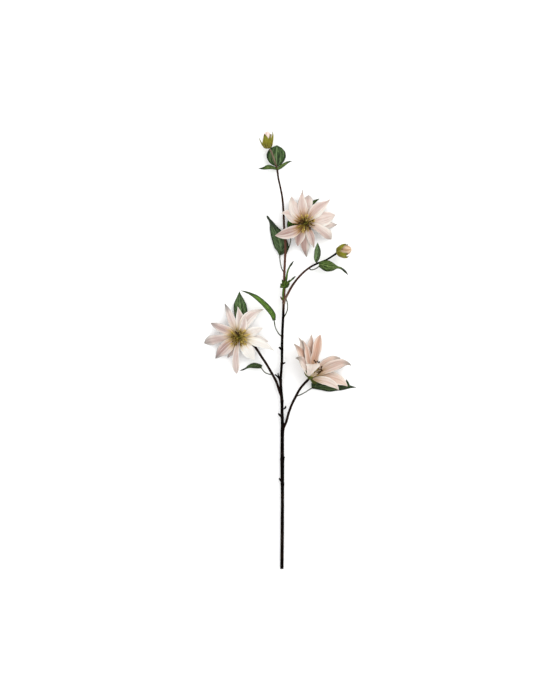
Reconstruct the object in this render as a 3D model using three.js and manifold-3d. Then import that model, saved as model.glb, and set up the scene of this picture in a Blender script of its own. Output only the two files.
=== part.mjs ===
// Clematis spray, lying on a flat surface. Millimetres, +Z up, +Y along the stem to its top.
// A dark woody stem with three open blooms, two buds and twelve leaves.
//
// Every place is given on a plan: x to the right and y towards the cut end, in plan units,
// as the spray looks from straight above. Heights are in millimetres above the surface.
import * as THREE from 'three';
import { mergeVertices } from 'three/addons/utils/BufferGeometryUtils.js';
import Module from 'manifold-3d';

const wasm = await Module();
wasm.setup();

// ---------------------------------------------------------------- driving dimensions
const UNIT = 1.9;                 // mm in one plan unit
const PLAN_X = 280;               // plan point straight below the eye
const PLAN_Y = 350;
const EYE_HEIGHT = 3694;          // mm, the height that the plan is drawn from
const GAP = 0.4;                  // mm between pieces that meet
const PETAL_THICKNESS = 0.9;      // mm at the midrib, thinning to the edges
const LEAF_THICKNESS = 1.0;       // mm
const PETAL_ROOT = 5.7;           // mm from the bloom's axis to the foot of a petal
const WHORL_STEP = 1.7;           // mm between the layers of petals at their feet
const FOOT_HALF_WIDTH = 1.7;      // mm, half the width of a petal's foot
const KNOB_RADIUS = 5.1;          // mm, receptacle
const KNOB_LENGTH = 8.0;          // mm

const BARK = 0x2c1d19;
const STALK = 0x3b231d;
const PETAL = 0xecd9d2;
const PETAL_WARM = 0xf0cfc0;
const STAMEN = 0x6f6420;
const CALYX = 0x8d8f2e;
const LEAF_DARK = 0x2e5233;
const LEAF_MID = 0x3c6b35;
const LEAF_BRIGHT = 0x4f8a35;

// ---------------------------------------------------------------- stems: x, y, height, radius in plan units
const MAIN_STEM = [
  [281.9, 568.8, 3.15, 1.64], [282.3, 526, 4.8, 1.66], [282.4, 484, 6.6, 1.68], [282.25, 472, 7.1, 1.86],
  [282.25, 461, 7.6, 1.92], [282.2, 450, 8.1, 1.82], [282.25, 437, 8.8, 1.78], [282.4, 424.7, 9.6, 1.64],
  [282, 412, 10.4, 1.48], [281.9, 400, 11.2, 1.5], [280.9, 388, 12, 1.38], [280.6, 380, 12.4, 1.34],
  [281.3, 370, 12.9, 1.25], [281.9, 361.6, 13.3, 1.25], [282, 350, 13.9, 1.3], [282.3, 335, 14.5, 1.25],
  [283.2, 316, 15.3, 1.24], [283.7, 301, 15.9, 1.24], [284.4, 290, 16.4, 1.2], [284.2, 278, 16.8, 1.14],
  [284.8, 263.6, 17.2, 1.12], [285.4, 250, 17.6, 1.1], [285.2, 240, 17.8, 1.06], [284.2, 228, 18.1, 1.02],
  [283.4, 211, 18.5, 0.98], [282.3, 198, 18.8, 0.94], [280.4, 187.5, 19.1, 0.9], [278.4, 178.6, 19.4, 0.88],
  [277.2, 170, 19.7, 0.9], [274.6, 161, 20.2, 0.76], [272.2, 154, 20.6, 0.76], [270.9, 151, 20.8, 0.82],
  [269.9, 149.6, 20.9, 0.92],
];
const LEFT_STALK = [
  [281.9, 400.5, 11.2, 1.2], [281.0, 396, 11.6, 1.2], [279.3, 391, 12.1, 1.2], [276.4, 381.9, 12.8, 1.2],
  [271.1, 372.1, 13.5, 1.16], [266.2, 363.7, 14.2, 1.15], [262, 357.4, 14.8, 1.15], [252.8, 344.6, 15.8, 1.12],
  [246, 339.8, 17.0, 1.1], [241.2, 337.4, 18.8, 1.15], [239.3, 336.6, 21.6, 1.3],
];
const RIGHT_STALK = [
  [282.6, 431, 9.3, 1.2], [283.8, 427.3, 9.8, 1.2], [285.9, 422.6, 10.3, 1.2], [288.7, 412.8, 11.4, 1.2],
  [292.2, 403.7, 12.6, 1.2], [295.7, 396.7, 13.7, 1.2], [300, 388.9, 15.4, 1.16], [304.5, 383.4, 17.2, 1.16],
  [308.4, 379.4, 19.6, 1.2], [309.8, 377.8, 21.2, 1.4],
];
const UPPER_STALK = [
  [285.2, 239.5, 17.8, 0.9], [287.0, 236.8, 18.1, 0.9], [291, 232.8, 18.5, 0.95], [297, 228, 19.0, 1.0],
  [302.3, 224.9, 20.0, 1.05], [304.9, 223.6, 22.4, 1.2],
];
const BUD_BRANCH = [
  [283.6, 303.5, 15.8, 1.15], [284.9, 299.6, 16.1, 1.15], [287.5, 294.4, 16.6, 1.1], [292.8, 284.9, 17.4, 1.02],
  [298.8, 277.2, 18.0, 0.97], [303.5, 272.4, 18.4, 0.95], [309.4, 267.7, 18.8, 0.92], [317.2, 263.5, 19.2, 0.92],
  [326.1, 260, 19.6, 0.86], [332, 256.4, 20.0, 0.88], [335.2, 254.3, 20.2, 0.95], [336.6, 253.2, 20.2, 1.0],
];

// Nubs and scars of the main stem: short tapering spurs.
const NUBS = [
  [[282.0, 349.6, 13.9, 1.2], [280.9, 348.6, 14.3, 1.1], [279.8, 348.0, 14.6, 0.8]],
  [[281.9, 364.2, 13.2, 0.7], [283.3, 363.4, 14.0, 0.6], [284.6, 362.8, 14.6, 0.62]],
  [[280.7, 382.5, 12.3, 1.1], [279.4, 378.6, 13.4, 1.0], [278.3, 375.4, 14.6, 0.62], [278.0, 373.2, 15.2, 0.4]],
  [[280.4, 380.6, 12.4, 0.8], [278.2, 377.2, 12.8, 0.8], [276.6, 375.8, 13.4, 0.62], [275.1, 374.7, 13.8, 0.45]],
  [[282.0, 409.4, 10.6, 0.7], [283.8, 408.6, 11.4, 0.6], [285.2, 408.2, 12.0, 0.55], [285.7, 406.9, 12.4, 0.45]],
  [[282.0, 417.4, 10.1, 0.9], [280.2, 415.6, 10.4, 0.8], [278.6, 413.9, 10.8, 0.6]],
  [[282.1, 459.0, 7.7, 0.9], [283.6, 457.8, 8.0, 0.7], [284.6, 456.8, 8.4, 0.5]],
  [[282.2, 483.4, 6.6, 1.0], [280.6, 480.6, 6.9, 0.9], [279.5, 478.2, 7.3, 0.55]],
  [[283.7, 300.6, 15.9, 0.9], [281.9, 298.9, 16.0, 0.85], [280.7, 296.9, 16.3, 0.5]],
];
// A loop of thin vine from the main stem up to the foot of the bud branch.
const VINE_LOOP = [
  [283.1, 318.6, 15.3, 0.6], [285.4, 314.6, 15.6, 0.5], [287.3, 310.2, 16.0, 0.44], [287.7, 305.8, 16.4, 0.44],
  [287.1, 302.0, 16.6, 0.46], [285.9, 298.6, 16.6, 0.5], [285.6, 297.4, 16.6, 0.5],
];

// ---------------------------------------------------------------- blooms: centre x, y, height, axis
const BLOOMS = [
  ["upper_flower", [305.4, 223.4, 28.0], [0.06, -0.04, 1.0]],
  ["left_flower", [239.2, 337.0, 27.0], [0.05, -0.05, 1.0]],
  ["right_flower", [311.2, 376.2, 24.0], [0.58, 0.643, 0.5]],
];
// Petals: bloom, number, tip x, y, height, width in plan units, layer, turn of the foot round the axis (deg),
// rise of the foot above the bloom's plane (deg), slope of the tip (deg), roll about its length (deg), cup,
// sideways bow of the middle (mm).
const PETALS = [
  ["upper_flower", 1, 291.6, 196.2, 18.4, 12.6, 1.06, 10, 28.7, -22, 0, 0.16, 8.5],
  ["upper_flower", 2, 302.3, 188.8, 15, 9.2, 2, 3, 27, -24, 0, 0.16, 3],
  ["upper_flower", 3, 308.9, 195, 4, 9.4, 0, 0, 22, -46, 0, 0.1],
  ["upper_flower", 4, 330.3, 199, 13, 12.4, 2, 0, 28, -26, 0, 0.16, -1],
  ["upper_flower", 5, 335.4, 214.8, 7, 15, 1, 0, 24, -30, 0, 0.1, -1],
  ["upper_flower", 6, 337.6, 224.5, 0.32, 8.6, 0, -6, 16, -30, 0, 0.06, -2.5],
  ["upper_flower", 7, 331.4, 239.6, 9, 9.8, 2, 8, 28, -28, 0, 0.16, 6],
  ["upper_flower", 8, 313.9, 248.1, 14, 7.4, 1.4, 6, 27, -34, 0, 0.14],
  ["upper_flower", 9, 306.7, 257.2, 0.32, 9.6, -0.5, -2, 10, -30, 0, 0.04, -1],
  ["upper_flower", 10, 297.6, 246.4, 16, 10.4, 1, -10, 26, -32, 0, 0.14, -2],
  ["upper_flower", 11, 274.8, 235.5, 22, 11.2, 2, 10, 26, -20, 0, 0.16, 6.5],
  ["upper_flower", 12, 281.3, 213.4, 22.3, 12.21, 0.49, 13, 17.6, -16, 0, 0.1, -9.5],
  ["left_flower", 1, 224.6, 302.8, 7, 7.8, 0.5, 6, 20, -26, 0, 0.12, -1],
  ["left_flower", 2, 237.4, 306.3, 15.36, 9.19, 1.48, -6, 31.4, -28, 0, 0.16, -2],
  ["left_flower", 3, 245.9, 315.4, 32.8, 6.07, 3.07, 0, 42.1, -6, 0, 0.16],
  ["left_flower", 4, 264, 309.4, 12.56, 11.05, 2.22, 14, 29.6, -26, 0, 0.16, 12],
  ["left_flower", 5, 263, 327.8, 12, 9, 1, 0, 24, -34, 0, 0.1],
  ["left_flower", 6, 268.5, 341.6, 0.32, 9.4, -0.3, 5, 12, -34, 0, 0.05],
  ["left_flower", 7, 274.4, 350.7, 13, 8.4, 1.5, 0, 26, -22, 0, 0.12, 6],
  ["left_flower", 8, 254.5, 360.4, 9, 12, 1, 0, 26, -34, 0, 0.12],
  ["left_flower", 9, 237, 374, 7, 7, 2, -6, 27, -26, 0, 0.14, -5.5],
  ["left_flower", 10, 227.6, 358.2, 3, 8, 0, 4, 14, -40, 0, 0.06],
  ["left_flower", 11, 215.2, 358.6, 8, 12.4, 2, -8, 27, -32, 0, 0.16, -2],
  ["left_flower", 12, 204, 343.3, 0.32, 9.8, 0.5, -2, 20, -30, 0, 0.1, -3.8],
  ["left_flower", 13, 210.3, 322.7, 10, 9, 2, -5, 27, -28, 0, 0.16, 0.8],
  ["right_flower", 1, 293.4, 343.4, 36.33, 10.47, 1.17, 4.7, 48.7, -10, 21.8, 0.14, 1.56],
  ["right_flower", 2, 298.1, 337.1, 25.97, 12.4, 0.49, -1, 41.7, -4, 23.5, 0.12, -0.89],
  ["right_flower", 3, 302.2, 339.6, 29.7, 12.6, 2.56, -4.9, 50.8, 2, -2, 0.16, -1.03],
  ["right_flower", 4, 311.6, 334, 6, 11.4, 0.1, 8, 32, 10, 4, 0.14, 6],
  ["right_flower", 5, 320.6, 334.4, 9, 11, 2.2, -16, 44, 6, 0, 0.16, 8],
  ["right_flower", 6, 295.3, 358.2, 48.73, 11.4, 0.12, 12.5, 55.1, -40, 19.5, 0.12, -4.32],
  ["right_flower", 7, 340.4, 358, 0.32, 11.6, -0.6, 6, 40, -10, -6, 0.08, 3],
  ["right_flower", 8, 351.6, 366.3, 15, 11.8, 2.2, 4, 66, -36, -8, 0.12, 8],
  ["right_flower", 9, 347.6, 386.6, 12, 12.4, 0.6, 6, 48, -24, -34, 0.12, 4],
  ["right_flower", 10, 338.8, 390.3, 22, 8.2, -0.2, -10, 46, -30, -40, 0.14],
  ["right_flower", 11, 313, 363.3, 57, 14, 1, 4, 40, 44, 116, 0.18],
];
// Width of a petal along its length, as a share of the widest.
const PETAL_SHAPE = [[0, 0.0], [0.1, 0.16], [0.22, 0.52], [0.36, 0.86], [0.5, 1.0], [0.64, 0.95], [0.78, 0.72], [0.89, 0.4], [0.96, 0.15], [1, 0.0]];

// Stamens: height along the axis and radius, in mm.
const STAMENS_OPEN = [[0.4, 0], [0.4, 3.6], [1.6, 4.4], [4.6, 5.4], [8.0, 8.2], [12.0, 11.4], [14.6, 12.6], [16.0, 11.0], [15.4, 6.0], [14.6, 0]];
// Green bracts under the right bloom.
const BRACTS = [
  [[310.6, 377.6, 22, 1.2, 1.2], [307.6, 375.4, 25, 1.35, 1.35], [305.3, 372.6, 28, 1.3, 1.3], [303.8, 369.4, 31.4, 0, 0]],
  [[311.4, 377.4, 21.4, 1.6, 1.6], [313.8, 378.6, 19.6, 2.9, 2.9], [315.8, 380.8, 17, 2.6, 2.6], [317.2, 384, 14.6, 0, 0]],
];
const STAMENS_CLOSED = [[0.4, 0], [0.4, 3.6], [1.6, 4.3], [6.0, 4.8], [12.0, 5.6], [18.0, 7.0], [22.0, 7.6], [23.6, 6.0], [23.6, 3.0], [23.0, 0]];

// ---------------------------------------------------------------- buds: name, base x, y, height, axis, girth, length
const BUDS = [
  ["top_bud", [267.4, 147.7, 21.2], [-0.01, 0.98, 0.18], 1.2, 1.08],
  ["side_bud", [338.1, 252.3, 21.0], [0.84, 0.21, 0.50], 1.35, 1.0],
];
const BUD_CORE = [[3.0, 0], [3.4, 3.4], [5.6, 5.9], [9.0, 6.9], [14.0, 7.0], [19.5, 5.8], [24.0, 3.6], [27.0, 1.5], [28.4, 0]];
const BUD_CUP = [[-1.6, 0], [-1.6, 2.0], [0.4, 4.4], [3.0, 6.6], [6.0, 7.8], [8.0, 8.1], [8.0, 7.4], [5.4, 6.4], [3.1, 4.0], [2.4, 1.8], [2.4, 0]];
// Sepals: bud, turn round the axis (deg), then radius and height of points up the midrib, half width (mm).
const SEPALS = [
  ["top_bud", 98, [[9.3, 4], [10.4, 11], [10.8, 19], [10.2, 27]], 8.2],
  ["top_bud", 36, [[9.3, 4], [12, 12], [13.6, 21], [13, 32]], 5],
  ["top_bud", 64, [[9.3, 4], [10.2, 11], [10.9, 18], [10.8, 27]], 3.2],
  ["top_bud", 180, [[9.3, 5], [11.8, 10], [13.8, 14], [15.6, 19.5]], 3.2],
  ["top_bud", 248, [[9.3, 6], [10.2, 12], [10.6, 18], [10.4, 25]], 4.4],
  ["top_bud", 318, [[9.3, 6], [10.2, 12], [10.6, 18], [10.2, 26]], 4.4],
  ["side_bud", 50, [[10.2, 4], [12.8, 10], [13.8, 17], [12.6, 25]], 9],
  ["side_bud", 138, [[10.2, 4], [12.8, 11], [14, 18], [13, 25]], 9],
  ["side_bud", 222, [[10.2, 6], [12.2, 11], [13, 16], [12.6, 21]], 5],
  ["side_bud", 354, [[10.2, 4], [13, 9], [14, 14], [12.6, 20]], 8],
];

// ---------------------------------------------------------------- leaves
// name, petiole (x, y, height, radius), blade (x, y, height, half width left and right of its direction), cup, fold, roll
const LEAVES = [
  ["round_leaf", "main", [[277.2, 170.3, 19.7, 0.5], [277, 168.6, 18, 0.5], [276.9, 167.2, 16.6, 0.5], [276.8, 165.6, 15.6, 0.45]],
    [[276.9, 166.8, 16.2, 1, 1], [276.8, 164.2, 14.8, 5.2, 5], [276.6, 160.2, 13.4, 8.6, 8.2], [276.5, 155.6, 12.4, 9.8, 9.4], [276.6, 151, 11.6, 8.4, 8], [276.8, 147.6, 11.2, 5, 4.8], [276.9, 145.2, 11, 0, 0]], 0.03, 0.06, 0],
  ["top_leaf_left", "main", [[277.2, 169.8, 19.7, 0.5], [275.6, 169, 19.6, 0.5], [274.2, 168.4, 19.6, 0.45], [273, 167.9, 19.6, 0.4]],
    [[276.6, 169, 21.4, 1.1, 1.2], [271.9, 167.5, 21.2, 1.8, 1.9], [267.8, 167.3, 19.4, 2.1, 2.4], [264.2, 168.2, 18.4, 1.5, 1.5], [261, 168.5, 17.2, 0.8, 0.8], [257.6, 168, 16.4, 0, 0]], 0.1, 0.12, 0],
  ["top_leaf_right", "main", [[277.2, 169.8, 19.7, 0.5], [278.6, 168.6, 19.9, 0.5], [279.8, 167.6, 20, 0.45], [281, 166.6, 20, 0.4]],
    [[277.7, 169, 21.5, 0.9, 0.9], [281.1, 166.8, 21.2, 1.9, 1.6], [284.4, 164.4, 20, 1.6, 1.5], [287.4, 162.5, 19, 1.1, 1.1], [290, 161.5, 18.2, 0.7, 0.7], [292.6, 161, 17.6, 0, 0]], 0.1, 0.12, 0],
  ["upper_left_leaf", "main", [[284.4, 272.6, 16.9, 0.55], [282.4, 270, 14.6, 0.5], [280.8, 265, 10.6, 0.45], [279.9, 259, 7.2, 0.45], [280, 254.6, 6, 0.5], [280.6, 251, 5.6, 0.45]],
    [[280, 255, 6.1, 1.2, 1.2], [281, 249.6, 5.4, 5.4, 7.2], [279.6, 242.2, 4.8, 6.8, 7.6], [276.6, 234.6, 4.2, 5.9, 6.4], [273.4, 228, 3.2, 3.9, 4], [270.9, 222.6, 2, 1.5, 2.2], [269, 219.2, 1.3, 1.1, 1.2], [267.5, 216.8, 0.9, 1, 1], [266.5, 215.2, 0.6, 0, 0]], 0.06, 0.06, 0],
  ["upper_hidden_leaf", "main", [[285.2, 256, 17.4, 0.55], [287.4, 250.9, 15.2, 0.5], [289.4, 246, 13, 0.45], [290.7, 239.8, 10.4, 0.45], [290.2, 233.4, 8.8, 0.45], [290.4, 228.4, 8, 0.5], [292, 224.8, 7.6, 0.45]],
    [[289.4, 228.8, 8, 2.4, 1.4], [291.6, 224.8, 7.4, 5.2, 4], [297, 218.6, 6.6, 5.6, 5.2], [303.4, 211.8, 5.6, 5.2, 5.2], [309.8, 205.6, 4.2, 3.2, 2.2], [315.2, 201.2, 2.6, 1.5, 1.3], [320, 198.4, 1.2, 0, 0]], 0.04, 0.05, 0],
  ["branch_leaf_small", "branch", [[316.4, 263.9, 19.2, 0.5], [316.3, 262.4, 20.4, 0.5], [316.4, 260.8, 21.2, 0.5], [316.5, 259.4, 21.6, 0.45]],
    [[316.2, 262.2, 20.8, 1.1, 1.1], [316.6, 258.6, 21.8, 2.6, 2.8], [317.2, 253.6, 22.6, 3.1, 3.5], [317.4, 249.2, 22.8, 2.6, 3], [317.5, 245.6, 22.5, 1.4, 1.6], [317.6, 242.4, 22, 0, 0]], 0.1, 0.1, 0],
  ["branch_leaf_large", "branch", [[309, 268.2, 18.8, 0.5], [310.6, 269.6, 18.9, 0.45], [313.4, 269.6, 20, 0.42], [316.6, 268.2, 21.4, 0.42], [319.6, 266.2, 22.6, 0.5], [322, 265.8, 23, 0.45]],
    [[318.9, 264.2, 22.5, 2.5, 2.7], [322, 264.6, 23, 4, 4.2], [328, 266, 22.8, 5.4, 5.7], [333.2, 267, 21.8, 3.9, 3.8], [337.2, 267.4, 20.6, 1.6, 1.3], [341.4, 268.5, 19.4, 1.1, 1.1], [345.4, 271.9, 18, 1.1, 1], [348.7, 275.7, 16.6, 0, 0]], 0.08, 0.08, 0],
  ["long_leaf", "main", [[282.3, 336.4, 14.5, 0.55], [280.2, 335.2, 15, 0.5], [277.6, 332, 16.2, 0.45], [275.3, 327.2, 17.8, 0.45], [274.4, 322.4, 19.4, 0.5], [274, 318.6, 20.6, 0.45]],
    [[274.2, 320.4, 19.8, 1.5, 1.5], [273, 315.2, 21.6, 2.5, 2.6], [268.8, 309.2, 23.2, 2.7, 3], [262.8, 302.8, 23.6, 2.5, 2.8], [256.4, 297.4, 22.4, 2.1, 2.3], [250.4, 293.8, 20.4, 1.3, 1.3], [245.2, 291.8, 18.4, 0.8, 0.8], [240, 290.3, 16.6, 0, 0]], 0.1, 0.16, 0],
  ["left_hidden_leaf", "left", [[250.6, 342.8, 16.1, 0.55], [248.4, 339.6, 13.4, 0.5], [245.8, 335.2, 9.4, 0.45], [243.6, 329.4, 6.6, 0.45], [242.4, 323, 5.4, 0.5], [242, 318.6, 5, 0.45]],
    [[242.5, 323.4, 5.5, 1.2, 1.2], [242, 318, 5, 6, 5.6], [240.9, 311, 4.4, 7, 6.6], [240.2, 304.8, 3.6, 6.4, 6], [239.8, 299.4, 2.4, 4.2, 3.8], [239.5, 295.4, 1.4, 1.9, 1.9], [239.3, 291.2, 0.7, 0, 0]], 0.05, 0.07, 0],
  ["left_small_leaf", "left", [[271.4, 374.4, 13.3, 0.5], [268.4, 374, 12.6, 0.45], [264.8, 372.3, 12, 0.42], [262, 369, 11.6, 0.45], [260.2, 366.8, 11.4, 0.45], [258.4, 366.2, 11.2, 0.4]],
    [[262, 366.6, 11.5, 1.8, 1.6], [258.4, 366, 11.2, 2.5, 2.4], [253.4, 365.5, 10.4, 2.7, 2.7], [249.4, 366.3, 9.4, 1.8, 1.7], [246.2, 368.1, 8.6, 0.8, 0.8], [242.8, 369.7, 7.8, 0.8, 0.7], [239.2, 370.8, 7, 0, 0]], 0.08, 0.12, 0],
  ["right_leaf", "right", [[296, 396.2, 13.7, 0.55], [299.4, 395.2, 11.4, 0.5], [304, 393, 8.8, 0.45], [308.4, 390.2, 6.8, 0.45], [312.4, 388, 5.6, 0.5], [316, 387.2, 4.8, 0.45]],
    [[311.4, 386.6, 5.9, 3.2, 1.8], [315.4, 386.4, 4.9, 5.4, 2.8], [322.4, 386.2, 3.8, 5.6, 4.2], [330.4, 387.2, 2.8, 4.6, 4.5], [337.6, 387.8, 2, 3, 2.8], [341.4, 387.4, 1.7, 2.2, 2.9], [345.6, 387.2, 1.4, 2.6, 2.2], [350.6, 387, 1.1, 1.4, 1.2], [357, 387.5, 0.7, 0, 0]], 0.04, 0.06, 0],
];
const RIGHT_LEAF_LOBE = [[349.2, 387.4, 1.5, 1.2, 1.2], [347.6, 383.6, 1.7, 1.5, 1.5], [346.9, 381.4, 1.8, 0.9, 0.9], [346.2, 379.2, 1.9, 0, 0]];
// Young shoot: three unfolding leaves out of one sheath, in front of the stem at the fork.
const SHOOT_SHEATH = [[283.2, 296.4, 18.6, 0.6], [283.2, 292.6, 19.2, 0.9], [283.9, 288.4, 20.0, 1.1], [284.9, 284.8, 20.8, 1.1], [285.8, 282.0, 21.2, 0.8]];
const SHOOT_LEAVES = [
  [[285.0, 285.4, 20.6, 1.0, 1.0], [286.1, 279.4, 21.8, 1.6, 1.5], [287.4, 272.4, 22.8, 1.2, 1.2], [290.3, 265.8, 23.2, 1.0, 1.0], [294.2, 260.2, 22.8, 0, 0]],
  [[284.8, 286.0, 20.8, 1.0, 1.0], [288.2, 282.8, 21.8, 1.5, 1.3], [291.3, 280.1, 22.8, 1.2, 1.0], [293.7, 277.7, 23.0, 0.9, 0.8], [296.1, 275.3, 22.6, 0, 0]],
  [[287.6, 281.6, 21.4, 1.0, 1.0], [285.9, 282.8, 22.2, 2.6, 2.4], [283.8, 284.7, 22.4, 3.2, 3.0], [281.8, 286.4, 21.4, 2.3, 2.4], [279.6, 287.8, 19.8, 0, 0]],
];

// ---------------------------------------------------------------- helpers
function plan(x, y, z) {
  const k = UNIT * (1 - z / EYE_HEIGHT);
  return new THREE.Vector3((x - PLAN_X) * k, (PLAN_Y - y) * k, z);
}

// Rows on the plan to rows in mm: place, then the other columns times the unit.
function planRows(rows) {
  return rows.map(([x, y, z, ...rest]) => {
    const p = plan(x, y, z);
    return [p.x, p.y, p.z, ...rest.map((v) => v * UNIT)];
  });
}

// A smooth path through rows of numbers, by distance along the first three columns.
function smoothPath(rows) {
  const n = rows.length;
  const s = [0];
  for (let i = 1; i < n; i++) {
    s.push(s[i - 1] + Math.hypot(rows[i][0] - rows[i - 1][0], rows[i][1] - rows[i - 1][1], rows[i][2] - rows[i - 1][2]));
  }
  const slope = (i) => rows[0].map((_, c) => (rows[i + 1][c] - rows[i][c]) / (s[i + 1] - s[i]));
  const m = rows.map((_, i) => {
    if (i === 0) return slope(0);
    if (i === n - 1) return slope(n - 2);
    const a = slope(i - 1);
    const b = slope(i);
    const ha = s[i] - s[i - 1];
    const hb = s[i + 1] - s[i];
    return a.map((v, c) => (v * hb + b[c] * ha) / (ha + hb));
  });
  const at = (t) => {
    const q = Math.min(Math.max(t, 0), 1) * s[n - 1];
    let i = 0;
    while (i < n - 2 && q > s[i + 1]) i++;
    const h = s[i + 1] - s[i];
    const v = (q - s[i]) / h;
    const a = 2 * v ** 3 - 3 * v ** 2 + 1;
    const b = v ** 3 - 2 * v ** 2 + v;
    const c = -2 * v ** 3 + 3 * v ** 2;
    const d = v ** 3 - v ** 2;
    return rows[i].map((p, k) => a * p + b * h * m[i][k] + c * rows[i + 1][k] + d * h * m[i + 1][k]);
  };
  at.length3 = s[n - 1];
  return at;
}

function lerpTable(table, u) {
  let i = 0;
  while (i < table.length - 2 && u > table[i + 1][0]) i++;
  const t = (u - table[i][0]) / (table[i + 1][0] - table[i][0]);
  return table[i][1] + (table[i + 1][1] - table[i][1]) * Math.min(Math.max(t, 0), 1);
}

// Closed geometry from points and triangles, with its faces pointing out.
function shell(points, faces) {
  let volume = 0;
  for (const [a, b, c] of faces) volume += points[a].dot(new THREE.Vector3().crossVectors(points[b], points[c]));
  const g = new THREE.BufferGeometry();
  g.setAttribute('position', new THREE.Float32BufferAttribute(points.flatMap((p) => [p.x, p.y, p.z]), 3));
  g.setIndex(faces.flatMap(([a, b, c]) => (volume < 0 ? [a, c, b] : [a, b, c])));
  return g;
}

// Position-only geometry whose shared vertices are merged, without empty triangles.
function weld(geometry) {
  const g = geometry.clone();
  g.deleteAttribute('normal');
  g.deleteAttribute('uv');
  const w = mergeVertices(g, 1e-4);
  const p = w.getAttribute('position');
  const points = [];
  for (let i = 0; i < p.count; i++) points.push(new THREE.Vector3().fromBufferAttribute(p, i));
  const faces = [];
  for (let i = 0; i < w.index.count; i += 3) {
    const f = [w.index.getX(i), w.index.getX(i + 1), w.index.getX(i + 2)];
    if (f[0] !== f[1] && f[1] !== f[2] && f[2] !== f[0]) faces.push(f);
  }
  return shell(points, faces);
}

function toSolid(geometry) {
  const g = weld(geometry);
  return new wasm.Manifold(new wasm.Mesh({
    numProp: 3,
    vertProperties: new Float32Array(g.getAttribute('position').array),
    triVerts: new Uint32Array(g.index.array),
  }));
}

function fromSolid(solid) {
  const parts = solid.decompose();
  parts.sort((a, b) => b.volume() - a.volume());
  const mesh = parts[0].getMesh();
  const g = new THREE.BufferGeometry();
  const n = mesh.numProp;
  const xyz = [];
  for (let i = 0; i < mesh.vertProperties.length; i += n) xyz.push(mesh.vertProperties[i], mesh.vertProperties[i + 1], mesh.vertProperties[i + 2]);
  g.setAttribute('position', new THREE.Float32BufferAttribute(xyz, 3));
  g.setIndex(Array.from(mesh.triVerts));
  return weld(g);
}

function joined(geometries, cutters = []) {
  let s = toSolid(geometries[0]);
  for (const g of geometries.slice(1)) s = s.add(toSolid(g));
  for (const g of cutters) s = s.subtract(toSolid(g));
  return fromSolid(s);
}

// Closed round tube through rows of x, y, z, radius (mm).
function tube(rows, sides, steps, grow = 0) {
  const at = smoothPath(rows);
  const points = [];
  const faces = [];
  let side = null;
  for (let i = 0; i <= steps; i++) {
    const t = i / steps;
    const [x, y, z, r] = at(t);
    const a = at(Math.max(0, t - 0.002));
    const b = at(Math.min(1, t + 0.002));
    const T = new THREE.Vector3(b[0] - a[0], b[1] - a[1], b[2] - a[2]).normalize();
    if (!side) side = Math.abs(T.z) < 0.9 ? new THREE.Vector3(0, 0, 1) : new THREE.Vector3(1, 0, 0);
    side.addScaledVector(T, -side.dot(T)).normalize();
    const up = new THREE.Vector3().crossVectors(T, side);
    const c = new THREE.Vector3(x, y, z);
    if (grow && i === 0) c.addScaledVector(T, -grow);
    if (grow && i === steps) c.addScaledVector(T, grow);
    for (let k = 0; k < sides; k++) {
      const w = (2 * Math.PI * (k + 0.5)) / sides;
      points.push(c.clone().addScaledVector(side, Math.cos(w) * (r + grow)).addScaledVector(up, Math.sin(w) * (r + grow)));
    }
  }
  for (let i = 0; i < steps; i++) {
    for (let k = 0; k < sides; k++) {
      const a = i * sides + k;
      const b = i * sides + ((k + 1) % sides);
      faces.push([a, b, b + sides], [a, b + sides, a + sides]);
    }
  }
  const last = steps * sides;
  for (let k = 1; k < sides - 1; k++) {
    faces.push([0, k + 1, k], [last, last + k, last + k + 1]);
  }
  return shell(points, faces);
}

// Round body about an axis from rows of height and radius (mm).
function turned(rows, origin, axis, segments, grow = 0) {
  const g = new THREE.LatheGeometry(rows.map(([h, r]) => new THREE.Vector2(r === 0 ? 0 : r + grow, h)), segments);
  g.applyQuaternion(new THREE.Quaternion().setFromUnitVectors(new THREE.Vector3(0, 1, 0), axis));
  g.translate(origin.x, origin.y, origin.z);
  return weld(g);
}

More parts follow.
